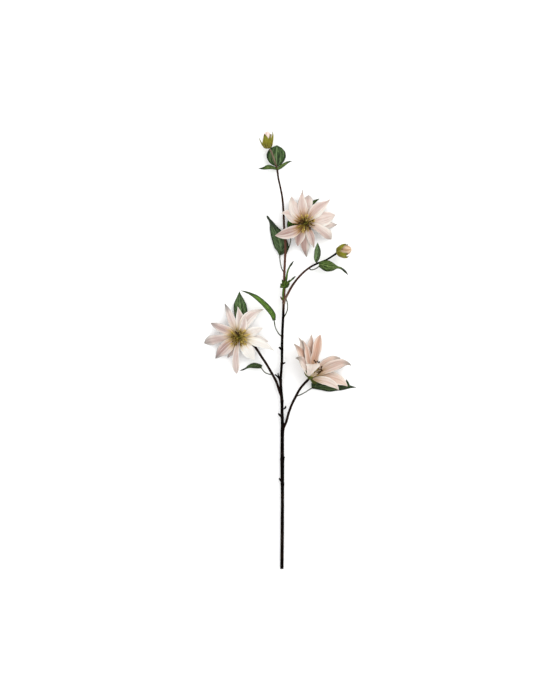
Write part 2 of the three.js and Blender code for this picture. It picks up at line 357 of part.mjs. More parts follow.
// Thin blade with pointed edges. at(u): place; half(u): half widths left and right; up: the way its face looks.
function blade({ at, half, up, roll = 0, cup = 0, fold = 0, thickness, nu, nv }) {
  const points = [];
  const top = [];
  const bottom = [];
  for (let i = 0; i <= nu; i++) {
    const u = i / nu;
    const c = at(u);
    const T = at(Math.min(1, u + 0.004)).sub(at(Math.max(0, u - 0.004))).normalize();
    const S = new THREE.Vector3().crossVectors(T, up).normalize();
    const N = new THREE.Vector3().crossVectors(S, T);
    const q = (roll * Math.PI) / 180;
    const S2 = S.clone().multiplyScalar(Math.cos(q)).addScaledVector(N, Math.sin(q));
    const N2 = N.clone().multiplyScalar(Math.cos(q)).addScaledVector(S, -Math.sin(q));
    const [l, r] = half(u);
    top.push([]);
    bottom.push([]);
    if (i === nu) {
      points.push(c);
      for (let j = 0; j <= nv; j++) {
        top[i].push(points.length - 1);
        bottom[i].push(points.length - 1);
      }
      continue;
    }
    const mean = (l + r) / 2;
    for (let j = 0; j <= nv; j++) {
      const s = -1 + (2 * j) / nv;
      const p = c.clone().addScaledVector(S2, s < 0 ? s * l : s * r).addScaledVector(N2, (cup * s * s + fold * Math.abs(s)) * mean);
      const t = (thickness / 2) * (1 - s * s) * Math.min(1, 0.45 + 2 * (1 - u));
      if (j === 0 || j === nv) {
        points.push(p);
        top[i].push(points.length - 1);
        bottom[i].push(points.length - 1);
      } else {
        points.push(p.clone().addScaledVector(N2, t), p.clone().addScaledVector(N2, -t));
        top[i].push(points.length - 2);
        bottom[i].push(points.length - 1);
      }
    }
  }
  const faces = [];
  const add = (a, b, c) => { if (a !== b && b !== c && c !== a) faces.push([a, b, c]); };
  for (let i = 0; i < nu; i++) {
    for (let j = 0; j < nv; j++) {
      add(top[i][j], top[i][j + 1], top[i + 1][j + 1]);
      add(top[i][j], top[i + 1][j + 1], top[i + 1][j]);
      add(bottom[i][j], bottom[i + 1][j + 1], bottom[i][j + 1]);
      add(bottom[i][j], bottom[i + 1][j], bottom[i + 1][j + 1]);
    }
  }
  for (let j = 0; j < nv; j++) {
    add(top[0][j], bottom[0][j + 1], top[0][j + 1]);
    add(top[0][j], bottom[0][j], bottom[0][j + 1]);
  }
  return shell(points, faces);
}

function leafBlade(rows, cup, fold, roll, nu = 8, up = new THREE.Vector3(0, 0, 1)) {
  const path = smoothPath(planRows(rows));
  return blade({
    at: (u) => new THREE.Vector3(...path(u).slice(0, 3)),
    half: (u) => path(u).slice(3, 5).map((w) => Math.max(w, 0.25)),
    up, roll, cup, fold, thickness: LEAF_THICKNESS, nu, nv: 4,
  });
}

function petalBlade(row) {
  const [bloomName, , x, y, z, width, layer, turn, rise, droop, roll, cup, bow = 0] = row;
  const [, centre, axisRow] = BLOOMS.find((b) => b[0] === bloomName);
  const O = plan(...centre);
  const n = new THREE.Vector3(...axisRow).normalize();
  const tip = plan(x, y, z);
  const d = tip.clone().sub(O);
  const e = d.clone().addScaledVector(n, -d.dot(n)).normalize();
  const foot = e.clone().applyAxisAngle(n, (turn * Math.PI) / 180);
  const P0 = O.clone().addScaledVector(foot, PETAL_ROOT).addScaledVector(n, (layer - 1) * WHORL_STEP);
  const L = P0.distanceTo(tip);
  const dir = (radial, deg) => radial.clone().multiplyScalar(Math.cos((deg * Math.PI) / 180)).addScaledVector(n, Math.sin((deg * Math.PI) / 180));
  const P1 = P0.clone().addScaledVector(dir(foot, rise), L * 0.36);
  const P2 = tip.clone().addScaledVector(dir(e, droop), -L * 0.32);
  const side = new THREE.Vector3().crossVectors(n, e);
  P1.addScaledVector(side, bow * 0.6);
  P2.addScaledVector(side, bow);
  const curve = new THREE.CubicBezierCurve3(P0, P1, P2, tip);
  const w = (width * UNIT) / 2;
  return blade({
    at: (u) => curve.getPoint(u),
    half: (u) => {
      const h = Math.max(FOOT_HALF_WIDTH * (1 - u) ** 2, 0) + w * lerpTable(PETAL_SHAPE, u);
      return [h, h];
    },
    up: n, roll, cup, thickness: PETAL_THICKNESS, nu: 7, nv: 4,
  });
}

const group = new THREE.Group();
group.name = 'clematis_spray';
function piece(name, geometry, color, roughness = 0.7) {
  const mesh = new THREE.Mesh(geometry, new THREE.MeshStandardMaterial({ color, roughness, metalness: 0, side: THREE.DoubleSide }));
  mesh.name = name;
  group.add(mesh);
  return mesh;
}

// ---------------------------------------------------------------- stems
const main = planRows(MAIN_STEM);
const mainTube = tube(main, 8, 54);
const mainGrown = tube(main, 8, 54, GAP);
const branch = planRows(BUD_BRANCH);
const branchGrown = tube(branch, 8, 22, GAP);
const spurs = NUBS.map((rows) => tube(planRows(rows), 5, 3));
const loop = joined([tube(planRows(VINE_LOOP), 5, 9)], [branchGrown]);
piece('main_stem', joined([mainTube, ...spurs, loop]), BARK, 0.8);
piece('bud_branch', joined([tube(branch, 8, 15)], [mainGrown]), STALK, 0.8);

const KNOB = [[-KNOB_LENGTH, 0], [-KNOB_LENGTH, 2.0], [-6.2, 3.4], [-3.6, 4.7], [-1.4, KNOB_RADIUS], [-0.2, 4.7], [0, 0]];
const stalks = { upper_flower: UPPER_STALK, left_flower: LEFT_STALK, right_flower: RIGHT_STALK };
const stalkGrown = {};
for (const [name, centre, axisRow] of BLOOMS) {
  const O = plan(...centre);
  const n = new THREE.Vector3(...axisRow).normalize();
  const rows = planRows(stalks[name]);
  stalkGrown[name] = tube(rows, 8, 22, GAP);
  const knob = turned(KNOB, O, n, 10);
  const bracts = name === 'right_flower' ? BRACTS.map((b) => leafBlade(b, 0.1, 0, 0, 4)) : [];
  piece(`${name}_stalk`, joined([tube(rows, 8, name === 'upper_flower' ? 8 : 16), knob, ...bracts], [mainGrown]), STALK, 0.8);
  piece(`${name}_stamens`, turned(name === 'right_flower' ? STAMENS_CLOSED : STAMENS_OPEN, O, n, 16), STAMEN, 0.8);
}

// ---------------------------------------------------------------- petals
for (const row of PETALS) {
  piece(`${row[0]}_petal_${String(row[1]).padStart(2, '0')}`, petalBlade(row), row[0] === 'right_flower' ? PETAL_WARM : PETAL, 0.6);
}

// ---------------------------------------------------------------- buds
for (const [name, base, axisRow, girth, length] of BUDS) {
  const O = plan(...base);
  const n = new THREE.Vector3(...axisRow).normalize();
  const right = new THREE.Vector3().crossVectors(n, new THREE.Vector3(0, 0, 1)).normalize();
  const front = new THREE.Vector3().crossVectors(right, n);
  const sized = (rows) => rows.map(([h, r]) => [h * length, r * girth]);
  piece(`${name}_petals`, turned(sized(BUD_CORE), O, n, 12), PETAL, 0.6);
  const sepals = SEPALS.filter((s) => s[0] === name).map(([, turn, rows, width]) => {
    const q = (turn * Math.PI) / 180;
    const out = right.clone().multiplyScalar(Math.cos(q)).addScaledVector(front, Math.sin(q));
    const path = smoothPath(rows.map(([r, h]) => {
      const p = O.clone().addScaledVector(out, r).addScaledVector(n, h);
      return [p.x, p.y, p.z];
    }));
    return blade({
      at: (u) => new THREE.Vector3(...path(u)),
      half: (u) => [width * (1 - u ** 2.2) + 0.25, width * (1 - u ** 2.2) + 0.25],
      up: out.clone().negate(), cup: 0.16, thickness: 1.0, nu: 4, nv: 4,
    });
  });
  piece(`${name}_calyx`, joined([turned(sized(BUD_CUP), O, n, 12), ...sepals]), CALYX, 0.6);
}

// ---------------------------------------------------------------- leaves
const carriers = { main: mainGrown, branch: branchGrown, left: stalkGrown.left_flower, right: stalkGrown.right_flower };
const leafColors = {
  round_leaf: LEAF_DARK, upper_left_leaf: LEAF_DARK, upper_hidden_leaf: LEAF_DARK, left_hidden_leaf: LEAF_DARK,
  right_leaf: LEAF_DARK, branch_leaf_large: LEAF_MID, branch_leaf_small: LEAF_MID, left_small_leaf: LEAF_DARK,
  long_leaf: LEAF_BRIGHT, top_leaf_left: LEAF_MID, top_leaf_right: LEAF_MID,
};
for (const [name, carrier, petiole, rows, cup, fold, roll] of LEAVES) {
  const solids = [tube(planRows(petiole), 5, petiole.length + 1), leafBlade(rows, cup, fold, roll)];
  if (name === 'right_leaf') solids.push(leafBlade(RIGHT_LEAF_LOBE, 0, 0, 0, 4));
  piece(name, joined(solids, [carriers[carrier]]), leafColors[name], 0.6);
}
piece('young_shoot', joined(
  [tube(planRows(SHOOT_SHEATH), 6, 6), ...SHOOT_LEAVES.map((rows) => leafBlade(rows, 0.12, 0.2, 0, 6))],
  [mainGrown, branchGrown],
), LEAF_BRIGHT, 0.6);

// ---------------------------------------------------------------- origin: middle of the box, on the surface
const box = new THREE.Box3().setFromObject(group);
const mid = box.getCenter(new THREE.Vector3());
for (const mesh of group.children) mesh.geometry.translate(-mid.x, -mid.y, -box.min.z);

export default group;
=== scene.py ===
import math

import bpy
import numpy as np
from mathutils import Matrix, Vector


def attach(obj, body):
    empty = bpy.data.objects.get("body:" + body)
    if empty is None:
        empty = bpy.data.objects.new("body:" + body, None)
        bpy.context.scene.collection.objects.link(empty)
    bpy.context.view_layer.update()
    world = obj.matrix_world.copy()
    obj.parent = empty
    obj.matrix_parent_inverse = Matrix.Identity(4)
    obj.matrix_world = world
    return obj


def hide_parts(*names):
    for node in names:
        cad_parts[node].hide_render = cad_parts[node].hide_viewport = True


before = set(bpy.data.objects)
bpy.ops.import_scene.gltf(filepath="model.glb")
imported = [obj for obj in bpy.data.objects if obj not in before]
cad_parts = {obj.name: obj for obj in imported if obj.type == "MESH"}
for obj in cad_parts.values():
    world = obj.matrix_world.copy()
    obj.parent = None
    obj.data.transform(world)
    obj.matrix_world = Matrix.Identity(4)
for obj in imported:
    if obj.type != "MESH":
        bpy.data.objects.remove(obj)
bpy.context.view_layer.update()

# ---------------------------------------------------------------- plan of the spray (the same rows as the solids)
UNIT = 1.9            # mm for one step of the plan
PLAN_X, PLAN_Y = 280.0, 350.0
EYE_HEIGHT = 3694.0   # mm above the surface
OFFSET = np.array([0.9423904, -1.5359420, 0.2717813])
PETAL_ROOT, WHORL_STEP, FOOT_HALF_WIDTH = 5.7, 1.7, 1.7

MAIN_STEM = [
    [281.9, 568.8, 3.15, 1.64], [282.3, 526, 4.8, 1.66], [282.4, 484, 6.6, 1.68], [282.25, 472, 7.1, 1.86],
    [282.25, 461, 7.6, 1.92], [282.2, 450, 8.1, 1.82], [282.25, 437, 8.8, 1.78], [282.4, 424.7, 9.6, 1.64],
    [282.0, 412, 10.4, 1.48], [281.9, 400, 11.2, 1.5], [280.9, 388, 12.0, 1.38], [280.6, 380, 12.4, 1.34],
    [281.3, 370, 12.9, 1.25], [281.9, 361.6, 13.3, 1.25], [282.0, 350, 13.9, 1.3], [282.3, 335, 14.5, 1.25],
    [283.2, 316, 15.3, 1.24], [283.7, 301, 15.9, 1.24], [284.4, 290, 16.4, 1.2], [284.2, 278, 16.8, 1.14],
    [284.8, 263.6, 17.2, 1.12], [285.4, 250, 17.6, 1.1], [285.2, 240, 17.8, 1.06], [284.2, 228, 18.1, 1.02],
    [283.4, 211, 18.5, 0.98], [282.3, 198, 18.8, 0.94], [280.4, 187.5, 19.1, 0.9], [278.4, 178.6, 19.4, 0.88],
    [277.2, 170, 19.7, 0.9], [274.6, 161, 20.2, 0.76], [272.2, 154, 20.6, 0.76], [270.9, 151.0, 20.8, 0.82],
    [269.9, 149.6, 20.9, 0.92],
]
LEFT_STALK = [
    [281.9, 400.5, 11.2, 1.2], [281.0, 396, 11.6, 1.2], [279.3, 391, 12.1, 1.2], [276.4, 381.9, 12.8, 1.2],
    [271.1, 372.1, 13.5, 1.16], [266.2, 363.7, 14.2, 1.15], [262, 357.4, 14.8, 1.15], [252.8, 344.6, 15.8, 1.12],
    [246, 339.8, 17.0, 1.1], [241.2, 337.4, 18.8, 1.15], [239.3, 336.6, 21.6, 1.3],
]
RIGHT_STALK = [
    [282.6, 431, 9.3, 1.2], [283.8, 427.3, 9.8, 1.2], [285.9, 422.6, 10.3, 1.2], [288.7, 412.8, 11.4, 1.2],
    [292.2, 403.7, 12.6, 1.2], [295.7, 396.7, 13.7, 1.2], [300, 388.9, 15.4, 1.16], [304.5, 383.4, 17.2, 1.16],
    [308.4, 379.4, 19.6, 1.2], [309.8, 377.8, 21.2, 1.4],
]
UPPER_STALK = [
    [285.2, 239.5, 17.8, 0.9], [287.0, 236.8, 18.1, 0.9], [291, 232.8, 18.5, 0.95], [297, 228, 19.0, 1.0],
    [302.3, 224.9, 20.0, 1.05], [304.9, 223.6, 22.4, 1.2],
]
BUD_BRANCH = [
    [283.6, 303.5, 15.8, 1.15], [284.9, 299.6, 16.1, 1.15], [287.5, 294.4, 16.6, 1.1], [292.8, 284.9, 17.4, 1.02],
    [298.8, 277.2, 18.0, 0.97], [303.5, 272.4, 18.4, 0.95], [309.4, 267.7, 18.8, 0.92], [317.2, 263.5, 19.2, 0.92],
    [326.1, 260, 19.6, 0.86], [332, 256.4, 20.0, 0.88], [335.2, 254.3, 20.2, 0.95], [336.6, 253.2, 20.2, 1.0],
]
NUBS = [
    [[282.0, 349.6, 13.9, 1.2], [280.9, 348.6, 14.3, 1.15], [279.9, 347.9, 14.6, 1.0], [279.3, 347.5, 14.7, 0.7]],
    [[282.0, 364.2, 13.2, 0.8], [283.3, 363.4, 14.0, 0.65], [284.4, 362.9, 14.6, 0.8], [285.0, 362.6, 14.8, 0.5]],
    [[280.7, 382.5, 12.3, 1.1], [279.4, 378.6, 13.4, 1.0], [278.3, 375.4, 14.6, 0.7], [278.0, 373.2, 15.2, 0.45]],
    [[280.4, 380.6, 12.4, 0.8], [278.2, 377.2, 12.8, 0.8], [276.6, 375.8, 13.4, 0.7], [275.1, 374.7, 13.8, 0.5]],
    [[282.0, 409.4, 10.6, 0.7], [283.6, 408.8, 11.4, 0.62], [284.8, 408.4, 12.0, 0.75], [285.5, 407.2, 12.4, 0.85], [285.8, 406.3, 12.5, 0.55]],
    [[282.0, 417.4, 10.1, 0.9], [280.4, 415.8, 10.4, 0.85], [279.2, 414.5, 10.7, 1.0], [278.5, 413.8, 10.8, 0.7]],
    [[282.1, 459.0, 7.7, 0.9], [283.4, 458.1, 8.0, 0.8], [284.3, 457.4, 8.3, 0.7]],
    [[282.2, 483.4, 6.6, 1.0], [280.8, 481.0, 6.9, 0.7], [279.8, 479.2, 7.2, 0.85], [279.4, 478.4, 7.3, 0.6]],
    [[283.7, 300.6, 15.9, 0.9], [281.9, 298.9, 16.0, 0.85], [280.7, 296.9, 16.3, 0.5]],
]
VINE_LOOP = [
    [283.1, 318.6, 15.3, 0.6], [285.4, 314.6, 15.6, 0.5], [287.3, 310.2, 16.0, 0.44], [287.7, 305.8, 16.4, 0.44],
    [287.1, 302.0, 16.6, 0.46], [285.9, 298.6, 16.6, 0.5], [285.6, 297.4, 16.6, 0.5],
]
BLOOMS = {
    "upper_flower": ([305.4, 223.4, 28.0], [0.06, -0.04, 1.0]),
    "left_flower": ([239.2, 337.0, 27.0], [0.05, -0.05, 1.0]),
    "right_flower": ([311.2, 376.2, 24.0], [0.58, 0.643, 0.5]),
}
PETALS = [
    ["upper_flower", 1, 291.6, 196.2, 18.4, 12.6, 1.06, 10, 28.7, -22, 0, 0.16, 8.5],
    ["upper_flower", 2, 302.3, 188.8, 15.0, 9.2, 2.0, 3, 27, -24, 0, 0.16, 3],
    ["upper_flower", 3, 308.9, 195.0, 4.0, 9.4, 0.0, 0, 22, -46, 0, 0.10],
    ["upper_flower", 4, 330.3, 199.0, 13.0, 12.4, 2.0, 0, 28, -26, 0, 0.16, -1],
    ["upper_flower", 5, 335.4, 214.8, 7.0, 15.0, 1.0, 0, 24, -30, 0, 0.10, -1],
    ["upper_flower", 6, 337.6, 224.5, 0.32, 8.6, 0.0, -6, 16, -30, 0, 0.06, -2.5],
    ["upper_flower", 7, 331.4, 239.6, 9.0, 9.8, 2.0, 8, 28, -28, 0, 0.16, 6],
    ["upper_flower", 8, 313.9, 248.1, 14.0, 7.4, 1.4, 6, 27, -34, 0, 0.14],
    ["upper_flower", 9, 306.7, 257.2, 0.32, 9.6, -0.5, -2, 10, -30, 0, 0.04, -1],
    ["upper_flower", 10, 297.6, 246.4, 16.0, 10.4, 1.0, -10, 26, -32, 0, 0.14, -2],
    ["upper_flower", 11, 274.8, 235.5, 22.0, 11.2, 2.0, 10, 26, -20, 0, 0.16, 6.5],
    ["upper_flower", 12, 281.3, 213.4, 22.3, 12.21, 0.49, 13, 17.6, -16, 0, 0.1, -9.5],
    ["left_flower", 1, 224.6, 302.8, 7.0, 7.8, 0.5, 6, 20, -26, 0, 0.12, -1],
    ["left_flower", 2, 237.4, 306.3, 15.36, 9.19, 1.48, -6, 31.4, -28, 0, 0.16, -2],
    ["left_flower", 3, 245.9, 315.4, 32.8, 6.07, 3.07, 0, 42.1, -6, 0, 0.16],
    ["left_flower", 4, 264, 309.4, 12.56, 11.05, 2.22, 14, 29.6, -26, 0, 0.16, 12],
    ["left_flower", 5, 263.0, 327.8, 12.0, 9.0, 1.0, 0, 24, -34, 0, 0.10],
    ["left_flower", 6, 268.5, 341.6, 0.32, 9.4, -0.3, 5, 12, -34, 0, 0.05],
    ["left_flower", 7, 274.4, 350.7, 13.0, 8.4, 1.5, 0, 26, -22, 0, 0.12, 6],
    ["left_flower", 8, 254.5, 360.4, 9.0, 12.0, 1.0, 0, 26, -34, 0, 0.12],
    ["left_flower", 9, 237.0, 374.0, 7.0, 7.0, 2.0, -6, 27, -26, 0, 0.14, -5.5],
    ["left_flower", 10, 227.6, 358.2, 3.0, 8.0, 0.0, 4, 14, -40, 0, 0.06],
    ["left_flower", 11, 215.2, 358.6, 8.0, 12.4, 2.0, -8, 27, -32, 0, 0.16, -2],
    ["left_flower", 12, 204.0, 343.3, 0.32, 9.8, 0.5, -2, 20, -30, 0, 0.10, -3.8],
    ["left_flower", 13, 210.3, 322.7, 10.0, 9.0, 2.0, -5, 27, -28, 0, 0.16, 0.8],
    ["right_flower", 1, 293.4, 343.4, 36.33, 10.47, 1.17, 4.7, 48.7, -10, 21.8, 0.14, 1.56],
    ["right_flower", 2, 298.1, 337.1, 25.97, 12.4, 0.49, -1, 41.7, -4, 23.5, 0.12, -0.89],
    ["right_flower", 3, 302.2, 339.6, 29.7, 12.6, 2.56, -4.9, 50.8, 2, -2, 0.16, -1.03],
    ["right_flower", 4, 311.6, 334, 6, 11.4, 0.1, 8, 32, 10, 4, 0.14, 6],
    ["right_flower", 5, 320.6, 334.4, 9.0, 11.0, 2.2, -16, 44, 6, 0, 0.16, 8],
    ["right_flower", 6, 295.3, 358.2, 48.73, 11.4, 0.12, 12.5, 55.1, -40, 19.5, 0.12, -4.32],
    ["right_flower", 7, 340.4, 358.0, 0.32, 11.6, -0.6, 6, 40, -10, -6, 0.08, 3],
    ["right_flower", 8, 351.6, 366.3, 15.0, 11.8, 2.2, 4, 66, -36, -8, 0.12, 8],
    ["right_flower", 9, 347.6, 386.6, 12.0, 12.4, 0.6, 6, 48, -24, -34, 0.12, 4],
    ["right_flower", 10, 338.8, 390.3, 22.0, 8.2, -0.2, -10, 46, -30, -40, 0.14, 2.4],
    ["right_flower", 11, 313.0, 364.3, 57.0, 14.0, 1.0, 4, 40, 44, 116, 0.18],
]
PETAL_SHAPE = [[0, 0.0], [0.1, 0.40], [0.22, 0.71], [0.36, 0.93], [0.5, 1.0], [0.64, 0.95], [0.78, 0.72], [0.89, 0.4], [0.96, 0.15], [1, 0.0]]
# how each petal is finished: tint (0 pale, 1 dusky), painted shade on the grey tip and edges, stain at its foot, fold
# along its middle, skew (which side is wider), tail (how long its tip is drawn out), roll in degrees, an outline of its
# own where it has one, and how much darker one half is than the other in painted shade, with the other half painted
# lighter
PETAL_TAIL = [[0, 0.0], [0.1, 0.40], [0.22, 0.71], [0.34, 0.93], [0.46, 1.0], [0.58, 0.90], [0.69, 0.64], [0.79, 0.35], [0.88, 0.15], [0.95, 0.075], [1, 0.0]]
PETAL_FAN = [[0, 0.0], [0.12, 0.14], [0.3, 0.34], [0.5, 0.58], [0.68, 0.82], [0.8, 0.98], [0.88, 1.0], [0.94, 0.78], [0.98, 0.36], [1, 0.0]]
PETAL_BROAD = [[0, 0.0], [0.08, 0.42], [0.2, 0.74], [0.38, 0.94], [0.56, 1.0], [0.72, 0.90], [0.85, 0.60], [0.94, 0.26], [1, 0.0]]
PETAL_BLUNT = [[0, 0.0], [0.1, 0.26], [0.25, 0.56], [0.44, 0.80], [0.6, 0.96], [0.74, 1.0], [0.85, 0.82], [0.93, 0.5], [0.97, 0.22], [1, 0.0]]
FINISH = {
    "upper_flower": {
        1: (0.26, 0.50, 1.0, -0.14, 0.10, 0.30, 0, None, 0.20), 2: (0.40, 0.70, 0.8, -0.24, -0.05, 1.0, 0, None, -0.30), 3: (0.46, 0.60, 0.7, -0.10, 0.0, 0.2, 0, PETAL_BLUNT, -0.25),
        4: (0.34, 0.45, 0.5, -0.22, -0.28, 0.8, 0, None, -0.55), 5: (0.34, 0.25, 0.5, -0.06, 0.0, 0.1, 0, None, -0.20), 6: (0.26, 0.75, 0.3, -0.14, 0.0, 0.3, 0),
        7: (0.38, 0.55, 0.5, -0.18, -0.10, 0.1, 0, PETAL_BLUNT, 0.30), 8: (0.80, 0.25, 0.5, -0.18, 0.0, 0.5, 0, None, -0.60), 9: (0.70, 0.80, 0.4, -0.30, 0.15, 0.3, 0, None, 1.0),
        10: (0.86, 0.35, 0.9, -0.20, 0.0, 0.2, 0, None, 0.45), 11: (0.90, 0.25, 0.9, 0.12, 0.0, 0.2, 0, None, 0.35), 12: (0.30, 0.15, 1.0, -0.08, 0.0, 0.35, 0, None, 0.20),
    },
    "left_flower": {
        1: (0.44, 1.1, 0.5, -0.20, 0.0, 0.4, 0), 2: (0.40, 0.20, 0.8, -0.20, 0.25, 0.7, 0, None, 0.20), 3: (0.44, 0.20, 0.9, -0.16, 0.30, 0.6, 0),
        4: (0.32, 0.35, 0.5, -0.14, -0.15, 0.5, 0, None, -0.25), 5: (0.06, 0.10, 0.8, -0.06, 0.0, 0.4, 0), 6: (0.16, 0.15, 0.8, -0.06, 0.0, 0.4, 0),
        7: (-0.08, 0.30, 0.6, -0.12, 0.0, 0.5, 0), 8: (-0.10, 0.0, 0.9, -0.06, 0.0, 0.2, 0), 9: (0.48, 0.45, 0.3, -0.16, 0.0, 0.4, 0, PETAL_BLUNT),
        10: (0.60, 0.90, 0.3, -0.10, 0.0, 0.5, 0), 11: (0.84, 0.95, 0.8, -0.10, 0.0, 0.3, 0, None, 0.45), 12: (0.50, 0.80, 0.8, -0.10, 0.10, 0.4, 0, PETAL_BLUNT),
        13: (0.66, 0.90, 0.9, -0.12, 0.0, 0.1, 0),
    },
    "right_flower": {
        1: (0.90, 0.90, 0.3, -0.14, 0.0, 0.5, 0, None, 0.30), 2: (0.16, 0.9, 0.2, -0.10, 0.0, 0.7, 0), 3: (0.80, 0.70, 0.3, -0.14, 0.0, 0.4, 0, None, -0.30),
        4: (0.62, 0.60, 0.3, -0.12, 0.0, 0.6, 0, None, 0.35), 5: (0.95, 0.40, 0.5, -0.08, -0.12, 0.2, 0, PETAL_BROAD, -0.45), 6: (0.50, 1.20, 0.2, -0.08, 0.0, 0.4, 0, None, 0.35),
        7: (0.46, 0.95, 0.5, -0.12, 0.0, 0.1, 0, None, -0.20), 8: (0.66, 1.2, 0.7, -0.14, 0.0, 0.4, 0, None, 0.25), 9: (0.44, 0.20, 0.7, -0.14, 0.0, 0.2, 0, None, 0.25),
        10: (0.38, 0.40, 0.5, -0.14, 0.0, 0.2, 0, None, 0.3), 11: (0.20, 0.30, 0.1, -0.14, 0.0, 0.0, 0, PETAL_FAN),
    },
}
BRACTS = [
    [[310.6, 377.2, 23.0, 1.8, 1.8], [308.0, 374.8, 30.0, 2.4, 2.4], [305.9, 372.4, 36.0, 2.0, 2.0], [304.3, 369.8, 40.0, 0, 0]],
    [[311.0, 377.4, 22.4, 1.6, 1.6], [312.8, 379.4, 21.0, 2.7, 2.7], [314.6, 381.6, 18.4, 2.5, 2.5], [316.2, 384.4, 15.4, 0, 0]],
]
BUDS = {
    "top_bud": ([267.4, 147.7, 21.2], [-0.01, 0.98, 0.18], 1.2, 1.08),
    "side_bud": ([338.1, 252.3, 21.0], [0.84, 0.21, 0.50], 1.35, 1.0),
}
BUD_CORE = [[3.0, 0], [3.4, 3.4], [5.6, 5.9], [9.0, 6.9], [14.0, 7.2], [19.5, 6.5], [24.0, 5.2], [27.0, 3.3], [28.2, 1.6], [28.6, 0]]
BUD_CUP = [[-1.6, 0], [-1.6, 3.0], [-0.4, 5.4], [2.0, 7.2], [5.0, 8.0], [8.0, 8.1], [8.0, 7.4], [5.4, 6.4], [3.1, 4.0], [2.4, 1.8], [2.4, 0]]
SEPALS = [   # bud, turn round it, rows of radius, height and further turn, half width
    ["top_bud", 98, [[9.3, 4], [10.4, 11, 4], [10.8, 19, 12], [10.2, 27, 28]], 8.2],
    ["top_bud", 36, [[9.3, 4], [12.0, 12], [13.6, 21], [13.0, 32]], 5.0],
    ["top_bud", 64, [[9.3, 4], [10.2, 11], [10.9, 18, -4], [10.8, 27, -12]], 3.2],
    ["top_bud", 180, [[9.3, 5], [11.8, 10], [13.8, 14], [15.6, 19.5]], 3.2],
    ["top_bud", 248, [[9.3, 6], [10.2, 12], [10.6, 18], [10.4, 25]], 4.4],
    ["top_bud", 318, [[9.3, 6], [10.2, 12], [10.6, 18], [10.2, 26]], 4.4],
    ["side_bud", 50, [[10.2, 4], [12.8, 10], [13.8, 17], [12.6, 25, 4]], 9.0],
    ["side_bud", 138, [[10.2, 4], [12.8, 11], [14.0, 18, 4], [13.0, 25, 10]], 9.0],
    ["side_bud", 222, [[10.2, 6], [12.2, 11], [13.0, 16], [12.6, 21]], 5.0],
    ["side_bud", 354, [[10.2, 4], [13.0, 9], [14.0, 14], [12.6, 20]], 8.0],
]
